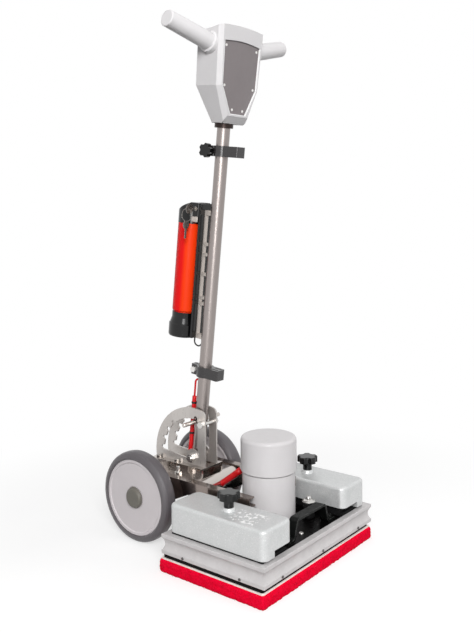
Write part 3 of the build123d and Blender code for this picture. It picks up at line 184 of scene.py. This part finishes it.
class Surface(Tree):
    """A principled material on object coordinates, which are metres in the part's frame."""

    def __init__(self, name, colour, roughness, metallic=0.0, edge=0.0007):
        self.name = name
        self.material = bpy.data.materials.new(name)
        self.material.use_nodes = True
        self.material.diffuse_color = colour
        super().__init__(self.material.node_tree)
        self.shader = self.tree.nodes["Principled BSDF"]
        self.put("Base Color", colour).put("Roughness", roughness).put("Metallic", metallic)
        self.coords = self.node("ShaderNodeTexCoord").outputs["Object"]
        self.normal = None
        if edge:
            self.normal = self.bevel(edge)
            self.link(self.normal, self.shader.inputs["Normal"])

    def put(self, socket, value):
        """Sets one number or colour on the shader, the same all over."""
        self.shader.inputs[socket].default_value = value
        return self

    def dull(self, level):
        """Specular level under the usual half."""
        return self.put("Specular IOR Level", level)

    def part_metal(self, share):
        """Metal that also scatters, as a brushed or plated face does."""
        return self.put("Metallic", share)

    def coat(self, weight, roughness):
        """A clear layer over the colour."""
        return self.put("Coat Weight", weight).put("Coat Roughness", roughness)

    def bevel(self, radius):
        """The normal that the face would have with its edges rounded."""
        return self.node("ShaderNodeBevel", samples=4, Radius=radius).outputs["Normal"]

    def stretched(self, x, y, z):
        """Coordinates scaled along each axis, so that a pattern runs out in lines."""
        mapping = self.node("ShaderNodeMapping", Scale=(x, y, z))
        self.link(self.coords, mapping.inputs["Vector"])
        return mapping.outputs["Vector"]

    def noise(self, size, detail, coords=None, distortion=0.0):
        """Cloudy values of about the given size in metres."""
        made = self.node("ShaderNodeTexNoise", Scale=1.0 / size, Detail=detail,
                         Distortion=distortion)
        self.link(coords or self.coords, made.inputs["Vector"])
        return made.outputs["Fac"]

    def cells(self, size):
        """Distance from the nearest of scattered points, in steps of the given size."""
        made = self.node("ShaderNodeTexVoronoi", Scale=1.0 / size, feature="F1")
        self.link(self.coords, made.inputs["Vector"])
        return made.outputs["Distance"]

    def axis(self, name):
        """One object coordinate as a number."""
        split = self.node("ShaderNodeSeparateXYZ")
        self.link(self.coords, split.inputs["Vector"])
        return split.outputs[name]

    def along(self, origin, direction):
        """How far a point lies from the origin along a direction, in metres."""
        direction = Vector(direction).normalized()
        return self.math("SUBTRACT", self.dot(self.coords, direction), origin.dot(direction))

    def tint(self, mask, colour):
        """Mixes another colour in where the mask is 1, over what is there."""
        socket = self.shader.inputs["Base Color"]
        mix = self.node("ShaderNodeMix", data_type="RGBA")
        if socket.is_linked:
            self.link(socket.links[0].from_socket, mix.inputs[6])
        else:
            mix.inputs[6].default_value = socket.default_value
        mix.inputs[7].default_value = colour
        self.link(mask, mix.inputs[0])
        self.link(mix.outputs[2], socket)
        return self

    def clouds(self, size, detail, low, high, amount, colour, coords=None):
        """Tints where cloudy values lie past low, by the whole amount from high on."""
        cloudy = self.noise(size, detail, coords)
        return self.tint(self.span(cloudy, low, high, 0.0, amount), colour)

    def gloss(self, value, low, high):
        """Roughness that runs from low to high with a cloudy value."""
        self.link(self.span(value, 0.3, 0.7, low, high), self.shader.inputs["Roughness"])
        return self

    def bump(self, height, depth, strength=1.0):
        """Relief of the given depth in metres."""
        made = self.node("ShaderNodeBump", Strength=strength, Distance=depth)
        self.link(height, made.inputs["Height"])
        if self.normal:
            self.link(self.normal, made.inputs["Normal"])
        self.normal = made.outputs["Normal"]
        self.link(self.normal, self.shader.inputs["Normal"])
        return self

    def bright_edge_lines(self, colour, width=0.0012, amount=0.8):
        """A lighter line on convex edges, broken up by noise; on the head, handle and weights it is
        a painted highlight.
        """
        true = self.node("ShaderNodeNewGeometry").outputs["Normal"]
        edge = self.span(self.dot(true, self.bevel(width)), 0.93, 0.995, amount, 0.0)
        broken = self.span(self.noise(0.006, 4.0), 0.42, 0.62)
        return self.tint(self.product(edge, broken), colour)


def moulded(name, colour, roughness, grain, depth=0.00005, spread=12):
    """Moulded plastic: fine grain, faint flow clouds and dust-like spots."""
    surface = Surface(name, srgb(*colour), roughness)
    surface.clouds(0.045, 3.0, 0.42, 0.75, 0.6, shifted(colour, -spread))
    surface.clouds(0.004, 5.0, 0.56, 0.74, 0.4, shifted(colour, spread))
    surface.gloss(surface.noise(0.012, 4.0), roughness - 0.06, roughness + 0.08)
    return surface.bump(surface.noise(grain, 2.0), depth)


def metal(name, colour, roughness, lines=None, depth=0.00002, spread=16):
    """Bare metal with fine working lines along the axis where the stretch is small."""
    surface = Surface(name, srgb(*colour), roughness, 1.0)
    coords = surface.stretched(*lines) if lines else None
    streaks = surface.noise(0.0012, 4.0, coords)
    surface.clouds(0.03, 4.0, 0.4, 0.72, 0.7, shifted(colour, -spread), coords)
    surface.gloss(streaks, max(roughness - 0.07, 0.02), roughness + 0.1)
    return surface.bump(streaks, depth)


def finishes():
    """The finishes by name: one for each material slot of the record, and two more plates."""
    return {surface.name: surface for surface in (
        moulded("hook_white", (246, 238, 232), 0.6, grain=0.0016, depth=0.0003),
        moulded("black_plastic", (12, 12, 13), 0.14, grain=0.0009, depth=0.00003, spread=5)
        .dull(0.42),
        moulded("gloss_black", (8, 8, 9), 0.1, grain=0.002, depth=0.00001, spread=4)
        .dull(0.42),
        moulded("deck_black", (7, 6, 6), 0.3, grain=0.003, depth=0.00002, spread=4)
        .dull(0.08),
        moulded("black_rubber", (14, 14, 15), 0.7, grain=0.0012, depth=0.0001, spread=7)
        .dull(0.25),
        moulded("handle_dark", (11, 13, 12), 0.4, grain=0.0012, depth=0.00004, spread=6)
        # The handle's lighter edge lines are a painted highlight.
        .dull(0.15).bright_edge_lines(srgb(118, 120, 118)),
        moulded("motor_grey", (211, 208, 209), 0.34, grain=0.0022, spread=5)
        .coat(0.3, 0.12).dull(0.2),
        moulded("tyre_grey", (93, 89, 92), 0.36, grain=0.0013, depth=0.00007, spread=9),
        moulded("disc_grey", (214, 208, 210), 0.5, grain=0.0011, depth=0.00008, spread=6),
        moulded("cap_olive", (106, 103, 95), 0.42, grain=0.0011, depth=0.00006, spread=7)
        .bright_edge_lines(srgb(152, 149, 142), 0.0016),
        moulded("clamp_black", (42, 39, 40), 0.26, grain=0.0009, depth=0.00006, spread=10)
        .coat(0.3, 0.1),
        moulded("panel_grey", (120, 113, 114), 0.4, grain=0.0009, depth=0.00003, spread=5),
        moulded("grip_grey", (221, 219, 220), 0.46, grain=0.0012, depth=0.00007, spread=5),
        moulded("cable_red", (214, 14, 22), 0.4, grain=0.0009, depth=0.00006, spread=14),
        metal("steel", (214, 212, 209), 0.17, depth=0.00001),
        metal("stainless", (204, 197, 192), 0.17, lines=(0.03, 1.0, 1.0), depth=0.00001),
        metal("satin_plate", (200, 195, 191), 0.34, lines=(1.0, 1.0, 0.05), depth=0.00001)
        .part_metal(0.7),
        metal("dark_stainless", (146, 135, 129), 0.13, lines=(1.0, 0.03, 1.0), depth=0.00001),
        metal("rail_silver", (202, 193, 186), 0.4, lines=(1.0, 1.0, 0.03), spread=10)
        .part_metal(0.4),
        metal("key_steel", (134, 130, 126), 0.24, lines=(1.0, 1.0, 0.1)),
        head_grey(), tube_satin(), battery_red(), skirt_silver(), weight_silver(), pad_red())}


def head_grey():
    """Moulded housing, with a painted highlight: a near-white line round the recess that holds the
    front panel, standing for its lit wall.
    """
    surface = moulded("head_grey", (208, 206, 207), 0.46, grain=0.0010, spread=5)
    # Painted highlight along the housing's convex edges.
    surface.bright_edge_lines(srgb(246, 245, 245), amount=0.4)
    up, back = surface.along(PIVOT, ALONG), surface.along(PIVOT, REAR)
    half = surface.math(
        "ADD", surface.span(up, PANEL_FOOT, PANEL_SHOULDER, FOOT_HALF, SHOULDER_HALF),
        surface.span(up, PANEL_SHOULDER, PANEL_TOP, 0.0, TOP_SPREAD))
    outside = surface.math("SUBTRACT", surface.math("ABSOLUTE", surface.axis("X")), half)
    foot = PANEL_FOOT - RIM
    inside = surface.product(surface.span(outside, RIM - RIM_FADE, RIM, 1.0, 0.0),
                             surface.span(up, foot - RIM_FADE, foot))
    band = HEAD_FRONT + FRONT_BAND
    front = surface.product(inside, surface.span(back, band, band - 0.0002))
    below_top = surface.span(up, PANEL_TOP, PANEL_TOP - 0.002)
    # The near-white line round the panel recess is a painted highlight on the recess wall.
    return surface.tint(surface.product(front, below_top), srgb(252, 252, 252))


def tube_satin():
    """Drawn stainless tube with a dark ring under the head."""
    surface = metal("tube_satin", (157, 149, 146), 0.34, lines=(1.0, 1.0, 0.008),
                    depth=0.000004, spread=5)
    ring = surface.span(surface.along(PIVOT, ALONG), COLLAR_RING, COLLAR_RING + 0.0004)
    return surface.tint(ring, srgb(58, 50, 48))


def battery_red():
    """Coloured metal sleeve with painted shading: orange on the lit side towards the mast, running
    into red on the shaded rear.
    """
    surface = moulded("battery_red", (250, 62, 12), 0.34, grain=0.0016, depth=0.00002, spread=6)
    surface.dull(0.15)
    across = surface.along(on_mast(0.0, BATTERY_CENTRE, 0.0), BATTERY_SHADE_SIDE)
    # The red at the rear is painted shade.
    rear = surface.span(across, BATTERY_SHADE_FROM, BATTERY_SHADE_FULL)
    return surface.tint(rear, srgb(240, 24, 26))


def skirt_silver():
    """Satin grey casting with faint rubbed clouds and a few dark pits."""
    surface = Surface("skirt_silver", srgb(203, 200, 200), 0.44, 0.3)
    surface.clouds(0.03, 4.0, 0.42, 0.72, 0.6, srgb(190, 187, 187))
    surface.clouds(0.0045, 4.0, 0.6, 0.75, 0.5, srgb(217, 215, 215))
    surface.tint(surface.span(surface.cells(0.022), 0.05, 0.035, 0.0, 0.7), srgb(96, 93, 94))
    surface.gloss(surface.noise(0.01, 4.0), 0.38, 0.54)
    return surface.bump(surface.noise(0.0012, 3.0), 0.00006)


FLECK_CENTRE = Vector((-0.160, -0.060, 0.0))
PAINT_METAL = 0.4


def weight_silver():
    """Silver paint over a cast block: soft pits, mottling, painted edge highlights and a patch of
    bright white flecks.
    """
    surface = Surface("weight_silver", srgb(214, 215, 215), 0.42, PAINT_METAL, edge=0.0012)
    surface.dull(0.2)
    surface.clouds(0.02, 5.0, 0.4, 0.7, 0.5, srgb(203, 206, 205))
    surface.clouds(0.0035, 4.0, 0.58, 0.72, 0.7, srgb(240, 241, 241))
    surface.clouds(0.0022, 4.0, 0.46, 0.36, 0.6, srgb(196, 198, 198))
    surface.gloss(surface.noise(0.007, 4.0), 0.3, 0.52)
    across = surface.math("ABSOLUTE", surface.along(FLECK_CENTRE, (1, 0, 0)))
    along = surface.math("ABSOLUTE", surface.along(FLECK_CENTRE, (0, 1, 0)))
    patch = surface.product(surface.span(across, 0.024, 0.032, 1.0, 0.0),
                            surface.span(along, 0.03, 0.045, 1.0, 0.0))
    flecks = surface.product(patch, surface.span(surface.noise(0.007, 3.0), 0.54, 0.60))
    surface.tint(flecks, WHITE)
    bare = surface.span(flecks, 0.0, 1.0, PAINT_METAL, 0.0)
    surface.link(bare, surface.shader.inputs["Metallic"])
    # Painted highlight along the block's convex edges.
    surface.bright_edge_lines(srgb(250, 251, 251), 0.0022)
    surface.bump(surface.noise(0.009, 4.0), 0.0008, 0.8)
    return surface.bump(surface.noise(0.0025, 3.0), 0.0004, 0.8)


def pad_red():
    """Open red fibre, painted darker in the gaps between strands as shade and lighter on the raised
    tangled strands.
    """
    surface = Surface("pad_red", srgb(255, 0, 50), 0.92, edge=0.0).dull(0.08)
    tangle = surface.noise(0.0026, 6.0, distortion=1.6)
    # Colour follows the relief: the darker tint in its hollows is painted shade, the lighter tint
    # on its heights painted light.
    surface.tint(surface.span(tangle, 0.46, 0.34, 0.0, 0.7), srgb(206, 0, 32))
    surface.tint(surface.span(tangle, 0.52, 0.68, 0.0, 0.8), srgb(255, 34, 80))
    surface.clouds(0.03, 3.0, 0.5, 0.75, 0.3, srgb(238, 0, 42))
    return surface.bump(tangle, 0.0022)


BARE_FROM, BARE_TO = 0.327, 0.41


def lead_pair():
    """Leads that are black in their sheath and show red where it is stripped."""
    surface = moulded("lead_pair", (16, 15, 16), 0.5, grain=0.0009, spread=6)
    height = surface.axis("Z")
    bare = surface.product(surface.span(height, BARE_FROM, BARE_FROM + 0.001),
                           surface.span(height, BARE_TO, BARE_TO - 0.001))
    return surface.tint(bare, srgb(206, 16, 24))


looks = finishes()
for entry in frame["record"]["subparts"]:
    mesh = nodes[entry["node"]].data
    mesh.materials.clear()
    mesh.materials.append(looks[entry["material_slot"]].material)

# Nodes whose finish differs from that of their slot

own_finishes = {
    "mast_leads": lead_pair(),
    "side_arm_left": looks["dark_stainless"],
    "side_arm_right": looks["dark_stainless"],
    "quadrant_left": looks["satin_plate"],
    "quadrant_right": looks["satin_plate"],
    "pad_driver": moulded("driver_black", (9, 8, 8), 0.6, grain=0.0012, spread=3).dull(0.12),
    "mast_screws": metal("zinc", (236, 234, 231), 0.34, depth=0.00001, spread=8).part_metal(0.5),
    # The skirt screws' dark steel also stands in for the shade in their recesses.
    "skirt_screws": metal("recess_shaded_screw", (104, 101, 100), 0.4),
    "deck_fasteners": looks["handle_dark"],
}
for node, surface in own_finishes.items():
    nodes[node].data.materials[0] = surface.material


# Pieces

SHARP = math.radians(35)
CORNER_STEPS = 4


def piece(name, mesh, body, slot):
    """Adds a smooth mesh in a slot's finish, on a body if one is given."""
    made = bpy.data.objects.new(name, mesh)
    scene.collection.objects.link(made)
    for polygon in mesh.polygons:
        polygon.use_smooth = True
    mesh.materials.append(looks[slot].material)
    if body:
        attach(made, body)
    return made


def to_mesh(builder, name):
    """What the builder holds as a mesh; the builder is used up."""
    mesh = bpy.data.meshes.new(name)
    builder.to_mesh(mesh)
    builder.free()
    return mesh


def crisp_piece(builder, name, body, slot):
    """A piece with smooth shading that breaks at its sharp edges."""
    bmesh.ops.recalc_face_normals(builder, faces=builder.faces)
    made = piece(name, to_mesh(builder, name), body, slot)
    made.data.set_sharp_from_angle(angle=SHARP)


def loft(builder, rings):
    """Closes rings of vertices into one skin, with a face at each end."""
    count = len(rings[0])
    for below, above in zip(rings, rings[1:]):
        for k in range(count):
            builder.faces.new((below[k], below[(k + 1) % count], above[(k + 1) % count], above[k]))
    builder.faces.new(list(reversed(rings[0])))
    builder.faces.new(rings[-1])


def circle(builder, centre, side, other, radius, angles):
    """Vertices on a circle in the plane of two directions."""
    return [builder.verts.new(centre + (side * math.cos(a) + other * math.sin(a)) * radius)
            for a in angles]


def around(sides):
    """Angles of a full turn in equal steps."""
    return [2 * math.pi * k / sides for k in range(sides)]


def on_arc(centre, radius, quarters):
    """The point of an arc that lies some quarter turns round its centre."""
    x, y = centre
    angle = math.radians(90 * quarters)
    return Vector((x + radius * math.cos(angle), y + radius * math.sin(angle), 0))


def rounded_outline(half_x, half_y, radius, step):
    """Points round a rectangle with rounded corners, about a step apart on its sides."""
    points = []
    x, y = half_x - radius, half_y - radius
    centres = ((x, y), (-x, y), (-x, -y), (x, -y))
    for index, centre in enumerate(centres):
        points.extend(on_arc(centre, radius, index + k / CORNER_STEPS)
                      for k in range(CORNER_STEPS + 1))
        start = points[-1]
        finish = on_arc(centres[(index + 1) % len(centres)], radius, index + 1)
        count = max(int((finish - start).length / step), 1)
        points.extend(start.lerp(finish, k / count) for k in range(1, count))
    return points


# Hardware on the deck and the battery; a profile is radius and height, from the foot up

TURNED_SIDES = 28
DOME = ((1.0, 0.0), (1.0, 0.35), (0.92, 0.62), (0.7, 0.86), (0.36, 0.98), (0.08, 1.0))
MOUNT_X, MOUNT_Y = 0.067, -0.0615
MOUNT_RUBBER = ((0.0135, 0.0), (0.0145, 0.004), (0.0125, 0.011), (0.0125, 0.027),
                (0.0142, 0.033), (0.0132, 0.036))
MOUNT_WASHER = ((0.0155, 0.0), (0.0160, 0.0008), (0.0150, 0.0026), (0.0115, 0.0048),
                (0.0075, 0.0058))
WASHER_FOOT, BOLT_FOOT = 0.036, 0.0416
MOUNT_BOLT = (0.0064, 0.0072)
DECK_BOLT = (0.0055, 0.005)
DECK_BOLTS = {"deck_bolt_a": (-0.037, -0.082), "deck_bolt_b": (-0.0244, -0.102)}
COVER_HALF_N, COVER_HALF_S, COVER_CORNER = 0.0095, 0.0066, 0.003
COVER_PLACE = (-0.022, 0.050, 0.5765)
COVER_RINGS = ((0.0, 0.0), (0.0013, 0.0), (0.0021, 0.0007), (0.0023, 0.0019))


def turned(name, foot, profile, slot):
    """A turned piece of the chassis about an upright line."""
    builder = bmesh.new()
    rings = []
    for radius, height in profile:
        offsets = [Vector((radius * math.cos(a), radius * math.sin(a), height))
                   for a in around(TURNED_SIDES)]
        rings.append([builder.verts.new(foot + offset) for offset in offsets])
    loft(builder, rings)
    crisp_piece(builder, name, "chassis", slot)


def dome_bolt(name, foot, size):
    """A domed steel bolt head; its size is radius and height."""
    radius, height = size
    turned(name, foot, [(radius * a, height * b) for a, b in DOME], "steel")


def deck_hardware():
    """Rubber mounts with domed bolts before the motor, and two deck bolts behind the handle."""
    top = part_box("deck_plate")[1].z
    for x, side in ((-MOUNT_X, "left"), (MOUNT_X, "right")):
        foot = Vector((x, MOUNT_Y, top))
        turned(f"mount_rubber_{side}", foot, MOUNT_RUBBER, "black_rubber")
        turned(f"mount_washer_{side}", foot + Vector((0, 0, WASHER_FOOT)), MOUNT_WASHER, "steel")
        dome_bolt(f"mount_bolt_{side}", foot + Vector((0, 0, BOLT_FOOT)), MOUNT_BOLT)
    for name, (x, y) in DECK_BOLTS.items():
        dome_bolt(name, Vector((x, y, top)), DECK_BOLT)


def charge_cover():
    """The small cover over the charging socket, on the side of the battery's head."""
    builder = bmesh.new()
    outline = rounded_outline(COVER_HALF_N, COVER_HALF_S, COVER_CORNER, COVER_CORNER)
    x, n, s = COVER_PLACE
    rings = []
    for lift, inset in COVER_RINGS:
        shrink_n, shrink_s = 1 - inset / COVER_HALF_N, 1 - inset / COVER_HALF_S
        places = [on_mast(x - lift, n + point.x * shrink_n, s + point.y * shrink_s)
                  for point in outline]
        rings.append([builder.verts.new(place) for place in places])
    loft(builder, rings)
    crisp_piece(builder, "charge_cover", "battery", "rail_silver")


# The fibre pad; its rows are height and inset

PAD_CORNER, PAD_STEP = 0.003, 0.003
FOOT_ROWS = ((0.0, 0.0022), (0.0005, 0.0006), (0.0018, -0.0006))
SIDE_SHARES, SIDE_INSET = (0.17, 0.29, 0.41, 0.53, 0.65, 0.77), -0.0022
ROWS_UNDER_TOP = ((0.003, -0.0006), (0.0008, 0.0008), (0.0, 0.0025))
LEVEL_BAND = 0.004

# Roughness of the pad's sides: amount in metres, scale across, scale up and start

PAD_ROUGH = (0.0016, 160, 220, 0.0)
PAD_CLUMP = (0.0009, 45, 0, 7.0)
PAD_LIFT = (0.0011, 120, 90, 3.0)

# Strands that stand out of the pad; pairs are the ends of a random draw

STRANDS = 1700
STRAND_SEED = 11
STRAND_RADIUS = 0.00022
STRAND_ANGLES = (0.0, 2.094, 4.189)
STRAND_DEPTH, STRAND_SHIFT = 0.001, (-0.0015, 0.0015)
STRAND_LOWEST, STRAND_UNDER_TOP = 0.0012, 0.002
STRAND_REACH, STRAND_STRETCH = (0.0016, 0.0038), (0.9, 1.5)
STRAND_SWAY, STRAND_RISE = (-0.8, 0.8), (-0.5, 0.7)
MIDDLE_LEAN, TIP_LEAN = 0.5, 1.6
TIP_LOWEST = 0.0004


def side_sign(place, half):
    """The sign of a side, within 2 percent of the half width of it, and 0 elsewhere."""
    return round(place / half * 0.51)


def way_out(point, half):
    """The way out of the pad at a point of its outline: across, along, or both at a corner."""
    return Vector((side_sign(point.x, half.x), side_sign(point.y, half.y), 0)).normalized()


def ragged(x, y, height, amount, across, up, start):
    """A smooth random distance that belongs to a place on the pad."""
    return amount * noise.noise(Vector((x * across, y * across, start + height * up)))


def pad_vertex(point, height, inset, half):
    """The outline's point at a height, moved in by the inset and roughened."""
    x, y = point.x, point.y
    shift, z = -inset, height
    if 0.0 < height < half.z:
        shift += ragged(x, y, height, *PAD_ROUGH) + ragged(x, y, height, *PAD_CLUMP)
        if height < half.z - LEVEL_BAND:
            z = max(z + ragged(x, y, height, *PAD_LIFT), 0.0)
    direction = way_out(point, half)
    return (x + direction.x * shift, y + direction.y * shift, z)


def strand(builder, points):
    """A three-sided thread through the points."""
    rings = []
    for k, point in enumerate(points):
        ahead = (points[min(k + 1, len(points) - 1)] - points[max(k - 1, 0)]).normalized()
        side = ahead.orthogonal().normalized()
        rings.append(circle(builder, point, side, ahead.cross(side), STRAND_RADIUS, STRAND_ANGLES))
    loft(builder, rings)


def scrub_pad():
    """The fibre pad: ragged sides, a soft lower edge and strands standing out of it."""
    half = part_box("scrub_pad")[1]
    top = half.z
    outline = rounded_outline(half.x, half.y, PAD_CORNER, PAD_STEP)
    rows = list(FOOT_ROWS)
    rows += [(top * share, SIDE_INSET) for share in SIDE_SHARES]
    rows += [(top - under, inset) for under, inset in ROWS_UNDER_TOP]
    builder = bmesh.new()
    loft(builder, [[builder.verts.new(pad_vertex(point, height, inset, half)) for point in outline]
                   for height, inset in rows])
    chance = random.Random(STRAND_SEED)
    for _ in range(STRANDS):
        point = outline[chance.randrange(len(outline))]
        sideways = way_out(point, half)
        if not sideways.length:
            continue
        along = Vector((-sideways.y, sideways.x, 0))
        root = point + along * chance.uniform(*STRAND_SHIFT) - sideways * STRAND_DEPTH
        root.z = chance.uniform(STRAND_LOWEST, top - STRAND_UNDER_TOP)
        reach = chance.uniform(*STRAND_REACH)
        lean = along * chance.uniform(*STRAND_SWAY) + Vector((0, 0, chance.uniform(*STRAND_RISE)))
        middle = root + sideways * reach + lean * reach * MIDDLE_LEAN
        tip = root + sideways * reach * chance.uniform(*STRAND_STRETCH) + lean * reach * TIP_LEAN
        tip.z = max(tip.z, TIP_LOWEST)
        strand(builder, (root, middle, tip))
    made = piece("scrub_pad_fibre", to_mesh(builder, "scrub_pad_fibre"), "pad_head", "pad_red")
    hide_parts("scrub_pad")


# The power cable, thin in its sleeve on the mast and thicker at the motor

CABLE_SIDES = 20
LINE_ORDER, LINE_STEPS = 3, 12
SLEEVE_RADIUS, CABLE_SWELL = 0.0053, 0.0022
SWELL_FROM, SWELL_OVER = 0.42, 0.12
CABLE_X, CABLE_N = -0.008, 0.0208
MAST_STOPS = (0.146, 0.11, 0.07, 0.014)
CHASSIS_ROUTE = ((-0.008, 0.2405, 0.172), (-0.008, 0.240, 0.150), (-0.008, 0.236, 0.112),
                 (-0.004, 0.198, 0.101), (0.0, 0.150, 0.125), (0.0, 0.0832, 0.1780))


def smooth_line(points):
    """Points along a NURBS line that has the given points as its control points."""
    curve = bpy.data.curves.new("route", "CURVE")
    curve.dimensions = "3D"
    curve.resolution_u = LINE_STEPS
    spline = curve.splines.new("NURBS")
    spline.points.add(len(points) - 1)
    for target, point in zip(spline.points, points):
        target.co = (*point, 1.0)
    spline.order_u = LINE_ORDER
    spline.use_endpoint_u = True
    holder = bpy.data.objects.new("route", curve)
    scene.collection.objects.link(holder)
    line = bpy.data.meshes.new_from_object(holder)
    found = [vertex.co.copy() for vertex in line.vertices]
    bpy.data.objects.remove(holder)
    bpy.data.meshes.remove(line)
    bpy.data.curves.remove(curve)
    return found


def tube(name, line, radius_at):
    """A closed tube along the line; radius_at gives the radius at a share of its length."""
    builder = bmesh.new()
    side = (line[1] - line[0]).normalized().orthogonal().normalized()
    lengths = [0.0]
    for a, b in zip(line, line[1:]):
        lengths.append(lengths[-1] + (b - a).length)
    rings = []
    for k, point in enumerate(line):
        ahead = (line[min(k + 1, len(line) - 1)] - line[max(k - 1, 0)]).normalized()
        side = (side - ahead * side.dot(ahead)).normalized()
        radius = radius_at(lengths[k] / lengths[-1])
        rings.append(circle(builder, point, side, ahead.cross(side), radius, around(CABLE_SIDES)))
    loft(builder, rings)
    return to_mesh(builder, name)


def cable_radius(share):
    """The cable's radius at a share of its length from the mast."""
    return SLEEVE_RADIUS + CABLE_SWELL * min(max((share - SWELL_FROM) / SWELL_OVER, 0), 1)


def power_cable():
    """One cable from the ties on the mast, through the bracket's slot, to the motor's gland."""
    line = smooth_line([on_mast(CABLE_X, CABLE_N, s) for s in MAST_STOPS]
                       + [Vector(point) for point in CHASSIS_ROUTE])
    made = piece("power_cable", tube("power_cable", line, cable_radius), None, "cable_red")
    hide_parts("mast_cable", "motor_cable")
    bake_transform(made)


scrub_pad()
power_cable()
deck_hardware()
charge_cover()


# Stage and light

SKY_LIGHT = 0.36
FLOOR_HALF = 9.0
FLOOR_SHADE = (0.5, 0.5, 0.5, 1)
FLOOR_GLOW = 0.57
FADE_FROM, FADE_TO = 0.55, 1.15
BOUNCE_FROM, BOUNCE_TO = 0.35, 0.9
BOUNCE_NEAR, BOUNCE_FAR = 0.42, 0.16
KEY_PLACE, KEY_TARGET = (-1.95, -1.63, 1.75), (0.0, 0.1, 0.5)


def seen(rays):
    """1 for rays that show a surface: straight to the camera, mirrored or through glass."""
    path = rays.node("ShaderNodeLightPath").outputs
    straight = rays.math("MAXIMUM", path["Is Camera Ray"], path["Is Transmission Ray"])
    return rays.math("MAXIMUM", straight, path["Is Glossy Ray"])


def mixed(rays, share, first, second):
    """A shader that goes from the first to the second as the share goes from 0 to 1."""
    made = rays.node("ShaderNodeMixShader")
    rays.link(share, made.inputs[0])
    rays.link(first.outputs[0], made.inputs[1])
    rays.link(second.outputs[0], made.inputs[2])
    return made


def stage_floor():
    """A white floor that keeps the object's soft shadow and runs out into the white sky."""
    mesh = bpy.data.meshes.new("floor")
    corners = [(x * FLOOR_HALF, y * FLOOR_HALF, 0) for x, y in ((-1, -1), (1, -1), (1, 1), (-1, 1))]
    mesh.from_pydata(corners, [], [(0, 1, 2, 3)])
    floor = bpy.data.objects.new("floor", mesh)
    scene.collection.objects.link(floor)
    material = bpy.data.materials.new("floor_white")
    material.use_nodes = True
    material.node_tree.nodes.clear()
    rays = Tree(material.node_tree)
    away = rays.node("ShaderNodeVectorMath", operation="LENGTH")
    rays.link(rays.node("ShaderNodeTexCoord").outputs["Object"], away.inputs[0])
    away = away.outputs["Value"]
    near = rays.node("ShaderNodeAddShader")
    rays.link(rays.node("ShaderNodeBsdfDiffuse", Color=FLOOR_SHADE).outputs[0], near.inputs[0])
    rays.link(rays.node("ShaderNodeEmission", Strength=FLOOR_GLOW).outputs[0], near.inputs[1])
    fade = rays.span(away, FADE_FROM, FADE_TO, kind="SMOOTHSTEP")
    shown = mixed(rays, fade, near, rays.node("ShaderNodeEmission"))
    bounce = rays.node("ShaderNodeBsdfDiffuse")
    light = rays.span(away, BOUNCE_FROM, BOUNCE_TO, BOUNCE_NEAR, BOUNCE_FAR, "SMOOTHSTEP")
    rays.link(light, bounce.inputs["Color"])
    output = rays.node("ShaderNodeOutputMaterial")
    rays.link(mixed(rays, seen(rays), bounce, shown).outputs[0], output.inputs["Surface"])
    mesh.materials.append(material)


def sky():
    """White to look at, straight or mirrored, and dimmer as light on the object."""
    world = bpy.data.worlds.new("studio")
    scene.world = world
    world.use_nodes = True
    rays = Tree(world.node_tree)
    background = rays.tree.nodes["Background"]
    background.inputs["Color"].default_value = WHITE
    rays.link(rays.span(seen(rays), 0.0, 1.0, SKY_LIGHT, 1.0), background.inputs["Strength"])


def lamp(name, place, target, size, power, height=None, mirrored=True, lights=True):
    """An area lamp; it may be left out of reflections, or be there for reflections alone."""
    data = bpy.data.lights.new(name, "AREA")
    data.shape = "RECTANGLE"
    data.size = size
    data.size_y = height or size
    data.energy = power
    made = bpy.data.objects.new(name, data)
    made.visible_glossy = mirrored
    made.visible_diffuse = lights
    made.location = place
    made.rotation_euler = (Vector(target) - Vector(place)).to_track_quat("-Z", "Y").to_euler()
    scene.collection.objects.link(made)


stage_floor()
sky()
lamp("key", KEY_PLACE, KEY_TARGET, size=1.3, power=59, mirrored=False)
lamp("key_gloss", KEY_PLACE, KEY_TARGET, size=0.5, power=16)
lamp("strip", (-2.05, -1.45, 0.95), (0.0, 0.17, 0.75), size=0.9, height=1.6, power=30, lights=False)
lamp("fill", (0.9, -2.4, 1.2), (0.0, 0.1, 0.4), size=1.2, power=6, mirrored=False)
lamp("side", (1.5, -0.9, 1.5), (0.0, 0.2, 0.1), size=0.7, power=6, mirrored=False)
lamp("top", (0.1, 0.2, 2.9), (0.0, 0.1, 0.2), size=1.5, power=1.5, mirrored=False)
